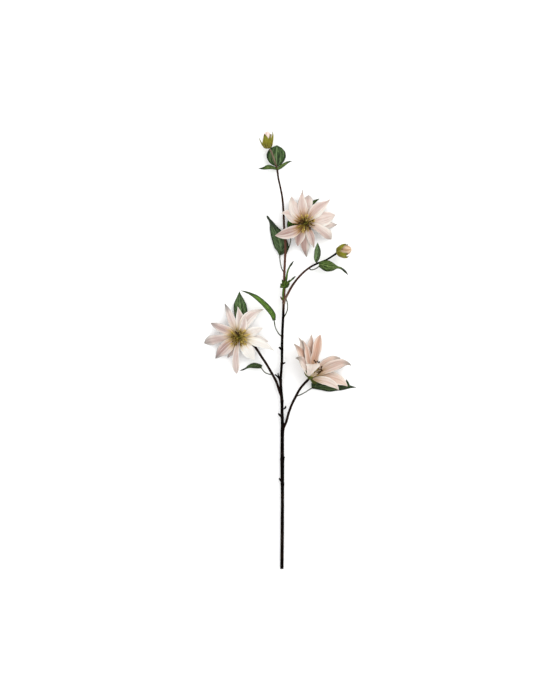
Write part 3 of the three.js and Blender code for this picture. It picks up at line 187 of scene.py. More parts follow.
LEAVES = [
    ["round_leaf", [[277.2, 170.3, 19.7, 0.5], [277.0, 168.6, 18.0, 0.5], [276.9, 167.2, 16.6, 0.5], [276.8, 165.6, 15.6, 0.45]],
     [[276.9, 166.8, 16.2, 1.0, 1.0], [276.8, 164.2, 14.8, 5.2, 5.0], [276.6, 160.2, 13.4, 8.6, 8.2], [276.5, 155.6, 12.4, 9.8, 9.4], [276.6, 151.0, 11.6, 8.4, 8.0], [276.8, 147.6, 11.2, 5.0, 4.8], [276.9, 145.2, 11.0, 0, 0]], 0.03, 0.06, 0],
    ["top_leaf_left", [[277.2, 169.8, 19.7, 0.5], [275.6, 169.0, 19.6, 0.5], [274.2, 168.4, 19.6, 0.45], [273.0, 167.9, 19.6, 0.4]],
     [[276.6, 169.0, 21.4, 1.1, 1.2], [271.9, 167.5, 21.2, 1.8, 1.9], [267.8, 167.3, 19.4, 2.1, 2.4], [264.2, 168.2, 18.4, 1.5, 1.5], [261.0, 168.5, 17.2, 0.8, 0.8], [257.6, 168.0, 16.4, 0, 0]], 0.1, 0.12, 0],
    ["top_leaf_right", [[277.2, 169.8, 19.7, 0.5], [278.6, 168.6, 19.9, 0.5], [279.8, 167.6, 20.0, 0.45], [281.0, 166.6, 20.0, 0.4]],
     [[277.2, 169.2, 21.5, 1.2, 1.2], [281.1, 166.8, 21.2, 1.9, 1.6], [284.4, 164.4, 20.0, 1.6, 1.5], [287.4, 162.5, 19.0, 1.1, 1.1], [290.0, 161.5, 18.2, 0.7, 0.7], [292.6, 161.0, 17.6, 0, 0]], 0.1, 0.12, 0],
    ["upper_left_leaf", [[284.4, 272.6, 16.9, 0.55], [282.4, 270.0, 14.6, 0.5], [280.8, 265.0, 10.6, 0.45], [279.9, 259.0, 7.2, 0.45], [280.0, 254.6, 6.0, 0.5], [280.6, 251.0, 5.6, 0.45]],
     [[280.0, 255.0, 6.1, 1.2, 1.2], [281.0, 249.6, 5.4, 5.4, 7.2], [279.6, 242.2, 4.8, 6.8, 7.6], [276.6, 234.6, 4.2, 5.9, 6.4], [273.4, 228.0, 3.2, 3.9, 4.0], [270.9, 222.6, 2.0, 1.5, 2.2], [269.0, 219.2, 1.3, 1.1, 1.2], [267.5, 216.8, 0.9, 1.0, 1.0], [266.5, 215.2, 0.6, 0, 0]], 0.06, 0.06, 0],
    ["upper_hidden_leaf", [[285.2, 256.0, 17.4, 0.55], [287.4, 250.9, 15.2, 0.5], [289.4, 246.0, 13.0, 0.45], [290.7, 239.8, 10.4, 0.45], [290.2, 233.4, 8.8, 0.45], [290.4, 228.4, 8.0, 0.5], [292.0, 224.8, 7.6, 0.45]],
     [[289.4, 228.8, 8.0, 2.4, 1.4], [291.6, 224.8, 7.4, 5.2, 4.0], [297.0, 218.6, 6.6, 5.6, 5.2], [303.4, 211.8, 5.6, 5.2, 5.2], [309.8, 205.6, 4.2, 3.2, 2.2], [315.2, 201.2, 2.6, 1.5, 1.3], [320.0, 198.4, 1.2, 0, 0]], 0.04, 0.05, 0],
    ["branch_leaf_small", [[316.4, 263.9, 19.2, 0.5], [316.3, 262.4, 20.4, 0.5], [316.4, 260.8, 21.2, 0.5], [316.5, 259.4, 21.6, 0.45]],
     [[316.2, 262.2, 20.8, 1.1, 1.1], [316.6, 258.6, 21.8, 2.6, 2.8], [317.2, 253.6, 22.6, 3.1, 3.5], [317.4, 249.2, 22.8, 2.6, 3.0], [317.5, 245.6, 22.5, 1.4, 1.6], [317.6, 242.4, 22.0, 0, 0]], 0.1, 0.1, 0],
    ["branch_leaf_large", [[309.0, 268.2, 18.8, 0.5], [310.6, 269.6, 18.9, 0.45], [313.4, 269.6, 20.0, 0.42], [316.6, 268.2, 21.4, 0.42], [319.6, 266.2, 22.6, 0.5], [322.0, 265.8, 23.0, 0.45]],
     [[318.9, 264.2, 22.5, 2.5, 2.7], [322.0, 264.6, 23.0, 4.0, 4.2], [328.0, 266.0, 22.8, 5.4, 5.7], [333.2, 267.0, 21.8, 3.9, 3.8], [337.2, 267.4, 20.6, 1.6, 1.3], [341.4, 268.5, 19.4, 1.1, 1.1], [345.4, 271.9, 18.0, 1.1, 1.0], [348.7, 275.7, 16.6, 0, 0]], 0.08, 0.08, 0],
    ["long_leaf", [[282.3, 336.4, 14.5, 0.55], [280.2, 335.2, 15.0, 0.5], [277.6, 332.0, 16.2, 0.45], [275.3, 327.2, 17.8, 0.45], [274.4, 322.4, 19.4, 0.5], [274.0, 318.6, 20.6, 0.45]],
     [[274.2, 320.4, 19.8, 1.5, 1.5], [273.0, 315.2, 21.6, 2.5, 2.6], [268.8, 309.2, 23.2, 2.7, 3.0], [262.8, 302.8, 23.6, 2.5, 2.8], [256.4, 297.4, 22.4, 2.1, 2.3], [250.4, 293.8, 20.4, 1.3, 1.3], [245.2, 291.8, 18.4, 0.8, 0.8], [240.0, 290.3, 16.6, 0, 0]], 0.1, 0.16, 0],
    ["left_hidden_leaf", [[250.6, 342.8, 16.1, 0.55], [248.4, 339.6, 13.4, 0.5], [245.8, 335.2, 9.4, 0.45], [243.6, 329.4, 6.6, 0.45], [242.4, 323.0, 5.4, 0.5], [242.0, 318.6, 5.0, 0.45]],
     [[242.5, 323.4, 5.5, 1.2, 1.2], [242.0, 318.0, 5.0, 6.0, 5.6], [240.9, 311.0, 4.4, 7.0, 6.6], [240.2, 304.8, 3.6, 6.4, 6.0], [239.8, 299.4, 2.4, 4.2, 3.8], [239.5, 295.4, 1.4, 1.9, 1.9], [239.3, 291.2, 0.7, 0, 0]], 0.05, 0.07, 0],
    ["left_small_leaf", [[271.4, 374.4, 13.3, 0.5], [268.4, 374.0, 12.6, 0.45], [264.8, 372.3, 12.0, 0.42], [262.0, 369.0, 11.6, 0.45], [260.2, 366.8, 11.4, 0.45], [258.4, 366.2, 11.2, 0.4]],
     [[262.0, 366.6, 11.5, 1.8, 1.6], [258.4, 366.0, 11.2, 2.5, 2.4], [253.4, 365.5, 10.4, 2.7, 2.7], [249.4, 366.3, 9.4, 1.8, 1.7], [246.2, 368.1, 8.6, 0.8, 0.8], [242.8, 369.7, 7.8, 0.8, 0.7], [239.2, 370.8, 7.0, 0, 0]], 0.08, 0.12, 0],
    ["right_leaf", [[296.0, 396.2, 13.7, 0.55], [299.4, 395.2, 11.4, 0.5], [304.0, 393.0, 8.8, 0.45], [308.4, 390.2, 6.8, 0.45], [312.4, 388.0, 5.6, 0.5], [316.0, 387.2, 4.8, 0.45]],
     [[311.4, 386.6, 5.9, 3.2, 1.8], [315.4, 386.4, 4.9, 5.4, 2.8], [322.4, 386.2, 3.8, 5.6, 4.2], [330.4, 387.2, 2.8, 4.6, 4.5], [337.6, 387.8, 2.0, 3.0, 2.8], [341.4, 387.4, 1.7, 2.2, 2.9], [345.6, 387.2, 1.4, 2.6, 2.2], [350.6, 387.0, 1.1, 1.4, 1.2], [357.0, 387.5, 0.7, 0, 0]], 0.04, 0.06, 0],
]
RIGHT_LEAF_LOBE = [[349.2, 387.4, 1.5, 1.2, 1.2], [347.6, 383.6, 1.7, 1.5, 1.5], [346.9, 381.4, 1.8, 0.9, 0.9], [346.2, 379.2, 1.9, 0, 0]]
SHOOT_SHEATH = [[283.0, 299.4, 18.4, 0.6], [282.9, 294.6, 19.0, 0.8], [283.4, 289.6, 19.8, 0.9], [284.5, 285.4, 20.6, 1.0], [285.6, 282.0, 21.2, 0.8]]
SHOOT_LEAVES = [
    [[285.0, 285.4, 20.6, 0.9, 0.9], [286.3, 279.4, 21.8, 1.2, 1.1], [287.4, 272.4, 22.8, 0.9, 0.9], [289.4, 267.2, 23.2, 0.8, 0.8], [291.8, 263.6, 23.1, 0.95, 0.95], [294.0, 260.4, 22.8, 0, 0]],
    [[284.8, 286.0, 20.8, 0.8, 0.8], [288.2, 282.8, 21.8, 1.0, 0.9], [291.3, 280.1, 22.8, 0.8, 0.7], [293.7, 277.9, 23.0, 0.9, 0.8], [296.1, 275.6, 22.6, 0, 0]],
    [[287.6, 281.6, 21.4, 1.0, 1.0], [285.9, 282.8, 22.2, 2.4, 2.2], [283.8, 284.7, 22.4, 2.8, 2.6], [281.8, 286.4, 21.4, 1.8, 1.9], [279.8, 287.8, 19.8, 0, 0]],
]
SHOOT_SCALES = [
    [[285.0, 285.8, 21.6, 0.8, 0.8], [283.8, 283.4, 23.4, 1.5, 1.4], [282.6, 281.0, 24.0, 1.0, 1.0], [281.8, 279.2, 23.8, 0, 0]],
    [[285.4, 286.6, 21.8, 0.8, 0.8], [287.0, 284.4, 24.0, 1.6, 1.5], [288.6, 281.8, 24.6, 1.1, 1.0], [289.6, 279.4, 24.2, 0, 0]],
    [[284.8, 287.6, 21.6, 0.8, 0.8], [286.8, 286.6, 23.0, 1.3, 1.3], [288.4, 285.0, 23.4, 0.9, 0.9], [290.0, 283.0, 23.0, 0, 0]],
    [[284.2, 285.8, 22.2, 0.8, 0.8], [285.2, 283.0, 25.0, 1.4, 1.4], [286.2, 280.2, 25.8, 0.9, 0.9], [286.8, 277.8, 25.4, 0, 0]],
    [[284.6, 286.8, 21.8, 0.7, 0.7], [282.8, 286.2, 23.4, 1.2, 1.2], [281.2, 284.8, 23.4, 0.8, 0.8], [280.2, 283.2, 22.8, 0, 0]],
]


# ---------------------------------------------------------------- small maths
def unit(v):
    v = np.asarray(v, float)
    return v / np.maximum(np.linalg.norm(v, axis=-1, keepdims=True), 1e-12)


def plan(x, y, z):
    k = UNIT * (1 - z / EYE_HEIGHT)
    return np.array([(x - PLAN_X) * k, (PLAN_Y - y) * k, z])


def plan_rows(rows):
    return np.array([list(plan(r[0], r[1], r[2])) + [v * UNIT for v in r[3:]] for r in rows])


class Path:
    """A smooth path through rows of numbers, by distance along the first three columns."""

    def __init__(self, rows):
        r = np.array(rows, float)
        d = np.linalg.norm(np.diff(r[:, :3], axis=0), axis=1)
        slope = np.diff(r, axis=0) / d[:, None]
        m = np.zeros_like(r)
        m[0], m[-1] = slope[0], slope[-1]
        for i in range(1, len(r) - 1):
            m[i] = (slope[i - 1] * d[i] + slope[i] * d[i - 1]) / (d[i - 1] + d[i])
        self.r, self.m, self.d = r, m, d
        self.s = np.concatenate([[0], np.cumsum(d)])
        self.length = self.s[-1]

    def __call__(self, t):
        q = np.clip(np.atleast_1d(np.asarray(t, float)), 0, 1) * self.length
        i = np.clip(np.searchsorted(self.s, q, side="left") - 1, 0, len(self.r) - 2)
        h = self.d[i]
        v = (q - self.s[i]) / h
        a, b = 2 * v**3 - 3 * v**2 + 1, v**3 - 2 * v**2 + v
        c, e = -2 * v**3 + 3 * v**2, v**3 - v**2
        return a[:, None] * self.r[i] + (b * h)[:, None] * self.m[i] + c[:, None] * self.r[i + 1] + (e * h)[:, None] * self.m[i + 1]


def monotone(table):
    """A smooth curve through a table of x, y that never overshoots it."""
    t = np.array(table, float)
    x, y = t[:, 0], t[:, 1]
    h, k = np.diff(x), np.diff(y) / np.diff(x)
    m = np.zeros_like(x)
    m[0], m[-1] = k[0], k[-1]
    for i in range(1, len(x) - 1):
        if k[i - 1] * k[i] > 0:
            w1, w2 = 2 * h[i] + h[i - 1], h[i] + 2 * h[i - 1]
            m[i] = (w1 + w2) / (w1 / k[i - 1] + w2 / k[i])

    def at(q):
        q = np.clip(np.asarray(q, float), x[0], x[-1])
        i = np.clip(np.searchsorted(x, q, side="right") - 1, 0, len(x) - 2)
        v = (q - x[i]) / h[i]
        return ((2 * v**3 - 3 * v**2 + 1) * y[i] + (v**3 - 2 * v**2 + v) * h[i] * m[i]
                + (-2 * v**3 + 3 * v**2) * y[i + 1] + (v**3 - v**2) * h[i] * m[i + 1])

    return at


_lattice = np.random.default_rng(20).random((32, 32, 32))


def noise(p, scale=1.0, octaves=3, seed=0.0):
    """Smooth value noise from -1 to 1 at points p (n, 3)."""
    p = np.asarray(p, float) * scale + seed * 7.31
    total, amp, norm = np.zeros(len(p)), 1.0, 0.0
    for _ in range(octaves):
        f = np.floor(p).astype(int)
        w = p - f
        w = w * w * (3 - 2 * w)
        c = 0
        for dx in (0, 1):
            for dy in (0, 1):
                for dz in (0, 1):
                    v = _lattice[(f[:, 0] + dx) % 32, (f[:, 1] + dy) % 32, (f[:, 2] + dz) % 32]
                    c = c + v * (w[:, 0] if dx else 1 - w[:, 0]) * (w[:, 1] if dy else 1 - w[:, 1]) * (w[:, 2] if dz else 1 - w[:, 2])
        total += amp * (c * 2 - 1)
        norm += amp
        amp *= 0.5
        p = p * 2.03 + 11.7
    return total / norm


def wobble(x, seed, octaves=2):
    x = np.atleast_1d(np.asarray(x, float))
    return noise(np.stack([x, np.full_like(x, seed * 3.7), np.full_like(x, 5.1 + seed)], 1), 1.0, octaves, seed)


# ---------------------------------------------------------------- mesh parts: points in mm of the plan, faces, values per point
class Shape:
    def __init__(self):
        self.p, self.f, self.m, self.values, self.sharp, self.n = [], [], [], {}, [], 0

    def add(self, points, faces, material=0, sharp=(), **values):
        points = np.asarray(points, float)
        for k in set(values) | set(self.values):
            self.values.setdefault(k, [np.zeros(self.n)] if self.n else [])
            v = values.get(k, 0.0)
            self.values[k].append(np.broadcast_to(np.asarray(v, float), (len(points),)).copy())
        self.p.append(points)
        self.f += [tuple(int(i) + self.n for i in q) for q in faces]
        self.m += [material] * len(faces)
        self.sharp += [(int(a) + self.n, int(b) + self.n) for a, b in sharp]
        self.n += len(points)
        return self

    def make(self, name, materials):
        points = (np.concatenate(self.p) - OFFSET) * 0.001
        mesh = bpy.data.meshes.new(name)
        mesh.from_pydata(points.tolist(), [], self.f)
        for m in materials:
            mesh.materials.append(m)
        mesh.polygons.foreach_set("material_index", self.m)
        mesh.polygons.foreach_set("use_smooth", [True] * len(self.f))
        for k, v in self.values.items():
            a = mesh.attributes.new(k, "FLOAT", "POINT")
            a.data.foreach_set("value", np.concatenate(v).astype(np.float32))
        if self.sharp:
            want = {(min(e), max(e)) for e in self.sharp}
            flags = [(min(e.vertices), max(e.vertices)) in want for e in mesh.edges]
            a = mesh.attributes.new("sharp_edge", "BOOLEAN", "EDGE")
            a.data.foreach_set("value", flags)
        mesh.update()
        obj = bpy.data.objects.new(name, mesh)
        bpy.context.scene.collection.objects.link(obj)
        return obj


def closed_sheet(top, bottom, tip=True):
    """Points and faces of a thin closed solid from two grids (nu, nv, 3) that share their rim."""
    nu, nv = top.shape[:2]
    index_top = np.zeros((nu, nv), int)
    index_bottom = np.zeros((nu, nv), int)
    points, sharp, u_of, v_of, side_of = [], [], [], [], []
    us, vs = np.linspace(0, 1, nu), np.linspace(-1, 1, nv)
    for i in range(nu):
        if tip and i == nu - 1:
            points.append((top[i, nv // 2] + bottom[i, nv // 2]) / 2)
            index_top[i, :] = index_bottom[i, :] = len(points) - 1
            u_of.append(1.0), v_of.append(0.0), side_of.append(0.5)
            continue
        for j in range(nv):
            rim = j in (0, nv - 1) or i == 0
            points.append((top[i, j] + bottom[i, j]) / 2 if rim else top[i, j])
            index_top[i, j] = len(points) - 1
            u_of.append(us[i]), v_of.append(vs[j]), side_of.append(0.5 if rim else 1.0)
            if rim:
                index_bottom[i, j] = index_top[i, j]
            else:
                points.append(bottom[i, j])
                index_bottom[i, j] = len(points) - 1
                u_of.append(us[i]), v_of.append(vs[j]), side_of.append(0.0)
    faces = []

    def quad(*q):
        q = [a for k, a in enumerate(q) if a not in q[:k]]
        if len(q) > 2:
            faces.append(tuple(q))

    for i in range(nu - 1):
        for j in range(nv - 1):
            quad(index_top[i, j], index_top[i, j + 1], index_top[i + 1, j + 1], index_top[i + 1, j])
            quad(index_bottom[i, j], index_bottom[i + 1, j], index_bottom[i + 1, j + 1], index_bottom[i, j + 1])
        sharp += [(index_top[i, 0], index_top[i + 1, 0]), (index_top[i, -1], index_top[i + 1, -1])]
    sharp += [(index_top[0, j], index_top[0, j + 1]) for j in range(nv - 1)]
    return np.array(points), faces, sharp, np.array(u_of), np.array(v_of), np.array(side_of)


def tube_shape(rows, sides, steps, radius=None, roundness=0.0, start=0.0, end=1.0):
    """Closed tube through rows of x, y, z, radius (mm). radius(distance, angle, points) adds to the radius. Ends are domed by roundness."""
    path = Path(rows)
    t = np.linspace(start, end, steps + 1)
    rows_at = path(t)
    a, b = path(np.clip(t - 0.002, 0, 1))[:, :3], path(np.clip(t + 0.002, 0, 1))[:, :3]
    T = unit(b - a)
    side = np.array([0.0, 0.0, 1.0]) if abs(T[0][2]) < 0.9 else np.array([1.0, 0.0, 0.0])
    w = 2 * np.pi * (np.arange(sides) + 0.5) / sides
    rings, dist, ang = [], [], []
    for i in range(steps + 1):
        side = unit(side - T[i] * side.dot(T[i]))
        up = np.cross(T[i], side)
        around = np.cos(w)[:, None] * side + np.sin(w)[:, None] * up
        c, r = rows_at[i, :3], rows_at[i, 3]
        s = t[i] * path.length
        rr = np.full(sides, r)
        if radius is not None:
            rr = rr + radius(np.full(sides, s), w, c + around * r)
        rings.append((c, around, rr, T[i]))
        dist.append(s), ang.append(w)
    points, d_of, a_of, ring_index = [], [], [], []

    def put(c, around, rr, s):
        ring_index.append(len(points))
        for k in range(sides):
            points.append(c + around[k] * rr[k])
            d_of.append(s), a_of.append(w[k])

    caps = [(0.35, 0.94), (0.72, 0.7), (0.95, 0.34)]
    c0, ar0, rr0, T0 = rings[0]
    c1, ar1, rr1, T1 = rings[-1]
    if roundness:
        for h, k in reversed(caps):
            put(c0 - T0 * h * rr0.mean() * roundness, ar0, rr0 * k, dist[0])
    for i, (c, ar, rr, _) in enumerate(rings):
        put(c, ar, rr, dist[i])
    if roundness:
        for h, k in caps:
            put(c1 + T1 * h * rr1.mean() * roundness, ar1, rr1 * k, dist[-1])
    faces = []
    for i in range(len(ring_index) - 1):
        p, q = ring_index[i], ring_index[i + 1]
        for k in range(sides):
            k2 = (k + 1) % sides
            faces.append((p + k, p + k2, q + k2, q + k))
    for centre, ring, flip, s in ((c0 - T0 * rr0.mean() * roundness, ring_index[0], True, dist[0]), (c1 + T1 * rr1.mean() * roundness, ring_index[-1], False, dist[-1])):
        points.append(centre)
        d_of.append(s), a_of.append(0.0)
        m = len(points) - 1
        for k in range(sides):
            k2 = (k + 1) % sides
            faces.append((m, ring + k2, ring + k) if flip else (m, ring + k, ring + k2))
    return np.array(points), faces, np.array(d_of), np.array(a_of), ring_index


def lathe(profile, origin, axis, segments, radius=None, finer=1):
    """Closed round body from rows of height and radius; radius(height, angle, r) gives the radius there."""
    prof = np.array(profile, float)
    if finer > 1:
        d = np.linalg.norm(np.diff(prof, axis=0), axis=1)
        rows = np.column_stack([prof, np.zeros(len(prof))])
        path = Path(rows)
        ts = np.concatenate([np.linspace(path.s[i], path.s[i + 1], finer, endpoint=False) for i in range(len(d))] + [[path.s[-1]]])
        prof = path(ts / path.length)[:, :2]
        prof[:, 1] = np.maximum(prof[:, 1], 0)
    axis = unit(axis)
    ref = np.array([0.0, 0.0, 1.0]) if abs(axis[2]) < 0.9 else np.array([0.0, 1.0, 0.0])
    right = unit(np.cross(axis, ref))
    front = np.cross(right, axis)
    w = 2 * np.pi * np.arange(segments) / segments
    around = np.cos(w)[:, None] * right + np.sin(w)[:, None] * front
    points, h_of, a_of, rings = [], [], [], []
    for h, r in prof:
        if r < 1e-4:
            rings.append([len(points)] * segments)
            points.append(origin + axis * h)
            h_of.append(h), a_of.append(0.0)
        else:
            rr = np.full(segments, r) if radius is None else radius(h, w, r)
            rings.append(list(range(len(points), len(points) + segments)))
            for k in range(segments):
                points.append(origin + axis * h + around[k] * rr[k])
                h_of.append(h), a_of.append(w[k])
    faces = []
    for i in range(len(rings) - 1):
        for k in range(segments):
            k2 = (k + 1) % segments
            q = [rings[i][k], rings[i][k2], rings[i + 1][k2], rings[i + 1][k]]
            q = [a for j, a in enumerate(q) if a not in q[:j]]
            if len(q) > 2:
                faces.append(tuple(q))
    points = np.array(points)
    volume = sum(points[f[0]].dot(np.cross(points[f[k]], points[f[k + 1]])) for f in faces for k in range(1, len(f) - 1))
    if volume < 0:
        faces = [f[::-1] for f in faces]
    return points, faces, np.array(h_of), np.array(a_of)


def axes_of(axis):
    axis = unit(axis)
    right = unit(np.cross(axis, [0.0, 0.0, 1.0])) if abs(axis[2]) < 0.95 else unit(np.cross(axis, [0.0, 1.0, 0.0]))
    return axis, right, np.cross(right, axis)


# ---------------------------------------------------------------- materials
class Look:
    """A node material, with short calls for its nodes."""

    def __init__(self, name, roughness=0.6, **sockets):
        self.mat = bpy.data.materials.new(name)
        self.mat.use_nodes = True
        self.t = self.mat.node_tree
        self.t.nodes.clear()
        self.out = self.t.nodes.new("ShaderNodeOutputMaterial")
        self.b = self.t.nodes.new("ShaderNodeBsdfPrincipled")
        self.t.links.new(self.b.outputs["BSDF"], self.out.inputs["Surface"])
        self.b.inputs["Roughness"].default_value = roughness
        for k, v in sockets.items():
            self.b.inputs[k.replace("_", " ")].default_value = v

    def node(self, kind, **props):
        n = self.t.nodes.new(kind)
        for k, v in props.items():
            setattr(n, k, v)
        return n

    def put(self, socket, v):
        if isinstance(v, bpy.types.NodeSocket):
            self.t.links.new(v, socket)
        else:
            socket.default_value = v

    def math(self, op, a, b=0.0, c=0.0, clamp=False):
        n = self.node("ShaderNodeMath", operation=op, use_clamp=clamp)
        for i, v in enumerate((a, b, c)):
            self.put(n.inputs[i], v)
        return n.outputs[0]

    def attr(self, name):
        return self.node("ShaderNodeAttribute", attribute_name=name).outputs["Fac"]

    def combine(self, x, y, z):
        n = self.node("ShaderNodeCombineXYZ")
        for i, v in enumerate((x, y, z)):
            self.put(n.inputs[i], v)
        return n.outputs[0]

    def place(self):
        return self.node("ShaderNodeTexCoord").outputs["Object"]

    def noise(self, vector, scale, detail=3.0, rough=0.5, colour=False):
        n = self.node("ShaderNodeTexNoise", noise_dimensions="3D")
        self.put(n.inputs["Vector"], vector)
        n.inputs["Scale"].default_value = scale
        n.inputs["Detail"].default_value = detail
        n.inputs["Roughness"].default_value = rough
        return n.outputs["Color" if colour else "Fac"]

    def ramp(self, fac, stops, mode="EASE"):
        n = self.node("ShaderNodeValToRGB")
        n.color_ramp.interpolation = mode
        e = n.color_ramp.elements
        while len(e) < len(stops):
            e.new(0.5)
        for i, (p, c) in enumerate(stops):
            e[i].position = p
            e[i].color = (*c, 1.0) if len(c) == 3 else c
        self.put(n.inputs["Fac"], fac)
        return n.outputs["Color"]

    def band(self, fac, stops, mode="EASE"):
        """A ramp of plain numbers."""
        n = self.node("ShaderNodeValToRGB")
        n.color_ramp.interpolation = mode
        e = n.color_ramp.elements
        while len(e) < len(stops):
            e.new(0.5)
        for i, (p, v) in enumerate(stops):
            e[i].position = p
            e[i].color = (v, v, v, 1.0)
        self.put(n.inputs["Fac"], fac)
        return n.outputs["Color"]

    def mix(self, fac, a, b, mode="MIX"):
        n = self.node("ShaderNodeMix", data_type="RGBA", blend_type=mode)
        self.put(n.inputs[0], fac)
        self.put(n.inputs[6], (*a, 1.0) if isinstance(a, tuple) and len(a) == 3 else a)
        self.put(n.inputs[7], (*b, 1.0) if isinstance(b, tuple) and len(b) == 3 else b)
        return n.outputs[2]

    def colour(self, v):
        self.put(self.b.inputs["Base Color"], v)

    def bump(self, height, strength=0.3, distance=0.001, normal=None):
        n = self.node("ShaderNodeBump")
        n.inputs["Strength"].default_value = strength
        n.inputs["Distance"].default_value = distance
        self.put(n.inputs["Height"], height)
        if normal is not None:
            self.put(n.inputs["Normal"], normal)
        self.put(self.b.inputs["Normal"], n.outputs["Normal"])
        return n.outputs["Normal"]


def srgb(r, g, b):
    """The colour of a surface that looks like r, g, b under the bright even light of the stage."""
    return tuple(0.87 * ((c / 255) / 12.92 if c / 255 <= 0.04045 else ((c / 255 + 0.055) / 1.055) ** 2.4) for c in (r, g, b))


def petal_look(name, pale, blush, dusk, ash, gold, rim):
    """Petal: along (0 foot to 1 tip), across (-1 to 1), seed, tint (0 pale to 1 dusky), painted shade on the grey tip
    and edges, stain (its foot).
    """
    k = Look(name, 0.72, Sheen_Weight=0.12, Sheen_Roughness=0.5, Subsurface_Weight=0.12, Subsurface_Scale=0.0012)
    k.b.inputs["Subsurface Radius"].default_value = (1.0, 0.6, 0.5)
    k.b.inputs["Specular IOR Level"].default_value = 0.2
    u, v, seed = k.attr("along"), k.attr("across"), k.attr("seed")
    tint, edge_shade_amount, stain = k.attr("tint"), k.attr("ash"), k.attr("stain")
    av = k.math("ABSOLUTE", v)
    streak_at = k.combine(k.math("MULTIPLY", v, 7.5), k.math("MULTIPLY", u, 1.7), k.math("MULTIPLY", seed, 9.0))
    streak = k.noise(streak_at, 1.6, 4.0, 0.6)
    blotch = k.noise(k.combine(k.math("MULTIPLY", v, 1.1), k.math("MULTIPLY", u, 2.2), k.math("MULTIPLY", seed, 4.0)), 1.7, 2.0, 0.5)
    # long fine veins that fan out a little and fade towards the rim
    bend = k.math("MULTIPLY", k.math("SUBTRACT", streak, 0.5), 0.9)
    wave = k.math("SINE", k.math("MULTIPLY", k.math("ADD", k.math("MULTIPLY", v, 9.0), bend), 6.2832))
    vein = k.math("POWER", k.math("MULTIPLY_ADD", wave, 0.5, 0.5), 5.0)
    vein = k.math("MULTIPLY", vein, k.band(av, [(0.0, 1.0), (0.55, 0.75), (0.95, 0.0)]))
    vein = k.math("MULTIPLY", vein, k.band(u, [(0.0, 0.6), (0.3, 1.0), (0.8, 0.55), (1.0, 0.0)]))
    # three pressed ribs
    ribs = None
    for at, wide in ((0.0, 0.06), (0.30, 0.04), (-0.30, 0.04)):
        off = k.math("ABSOLUTE", k.math("SUBTRACT", v, at))
        line = k.math("SUBTRACT", 1.0, k.math("DIVIDE", off, wide), clamp=True)
        ribs = line if ribs is None else k.math("MAXIMUM", ribs, line)
    ribs = k.math("MULTIPLY", ribs, k.band(u, [(0.0, 1.0), (0.6, 0.8), (0.97, 0.0)]))
    # the colour runs from pale to dusky, strongest along the middle
    middle = k.math("MULTIPLY", k.band(av, [(0.0, 1.0), (0.35, 0.85), (0.8, 0.45), (1.0, 0.25)]), k.band(u, [(0.0, 0.9), (0.35, 1.0), (0.75, 0.85), (1.0, 0.6)]))
    tone = k.math("ADD", k.math("MULTIPLY", k.math("ADD", tint, 0.06), k.math("MULTIPLY_ADD", middle, 0.75, 0.28)), k.math("MULTIPLY", k.math("SUBTRACT", blotch, 0.5), 0.34), clamp=True)
    # painted shade darkens one half of the petal and lightens the other, and shallow pleats run along it in painted
    # shade and highlight
    halves = k.math("MULTIPLY", k.attr("half"), k.band(k.math("MULTIPLY_ADD", v, 0.5, 0.5), [(0.0, 0.0), (0.44, 0.12), (0.56, 0.88), (1.0, 1.0)], "LINEAR"))
    halves = k.math("SUBTRACT", halves, k.math("MULTIPLY", k.attr("half"), 0.5))
    tone = k.math("ADD", tone, k.math("MULTIPLY", halves, 1.1), clamp=True)
    c = k.ramp(tone, [(0.0, pale), (0.45, blush), (1.0, dusk)], "LINEAR")
    # painted highlight and painted shade along shallow pleats that the surface does not have
    pleat_shading = k.noise(k.combine(k.math("MULTIPLY", v, 2.3), k.math("MULTIPLY", u, 0.7), k.math("MULTIPLY", seed, 5.0)), 1.5, 2.0, 0.5)
    c = k.mix(k.math("MULTIPLY", k.band(pleat_shading, [(0.0, 1.0), (0.36, 0.8), (0.47, 0.0)]), 0.42), c, rim)
    c = k.mix(k.math("MULTIPLY", k.band(pleat_shading, [(0.0, 0.0), (0.52, 0.0), (0.68, 1.0)]), k.math("MULTIPLY_ADD", tint, 0.42, 0.10)), c, tuple(0.72 * x for x in dusk))
    deep = tuple(0.60 * x for x in dusk)
    c = k.mix(k.math("MULTIPLY", k.math("SUBTRACT", streak, 0.46), k.math("MULTIPLY_ADD", tint, 1.3, 0.30), clamp=True), c, dusk)
    c = k.mix(k.math("MULTIPLY", vein, k.math("MULTIPLY_ADD", tint, 0.30, 0.06), clamp=True), c, deep)
    c = k.mix(k.math("MULTIPLY", ribs, k.math("MULTIPLY_ADD", tint, 0.50, 0.16), clamp=True), c, deep)
    # paler rim, then painted shade on the grey tip and edges
    # the paler rim is partly the petal's own pale edge and partly a painted highlight
    c = k.mix(k.math("MULTIPLY", k.band(av, [(0.0, 0.0), (0.74, 0.0), (0.93, 1.0)]), k.band(u, [(0.0, 0.0), (0.22, 0.6), (0.8, 0.7), (1.0, 0.2)])), c, rim)
    tip = k.band(k.math("ADD", u, k.math("ADD", k.math("MULTIPLY", k.math("SUBTRACT", streak, 0.5), 0.30), k.math("MULTIPLY", k.math("SUBTRACT", edge_shade_amount, 0.8), 0.16))), [(0.0, 0.0), (0.68, 0.0), (0.86, 0.55), (1.0, 1.0)])
    edge = k.math("MULTIPLY", k.band(k.math("ADD", av, k.math("MULTIPLY", k.math("SUBTRACT", blotch, 0.5), 0.25)), [(0.0, 0.0), (0.86, 0.0), (0.97, 1.0)]), k.band(u, [(0.0, 0.0), (0.3, 0.35), (0.7, 0.9), (1.0, 1.0)]))
    c = k.mix(k.math("MULTIPLY", k.math("MAXIMUM", tip, edge), edge_shade_amount, clamp=True), c, ash)
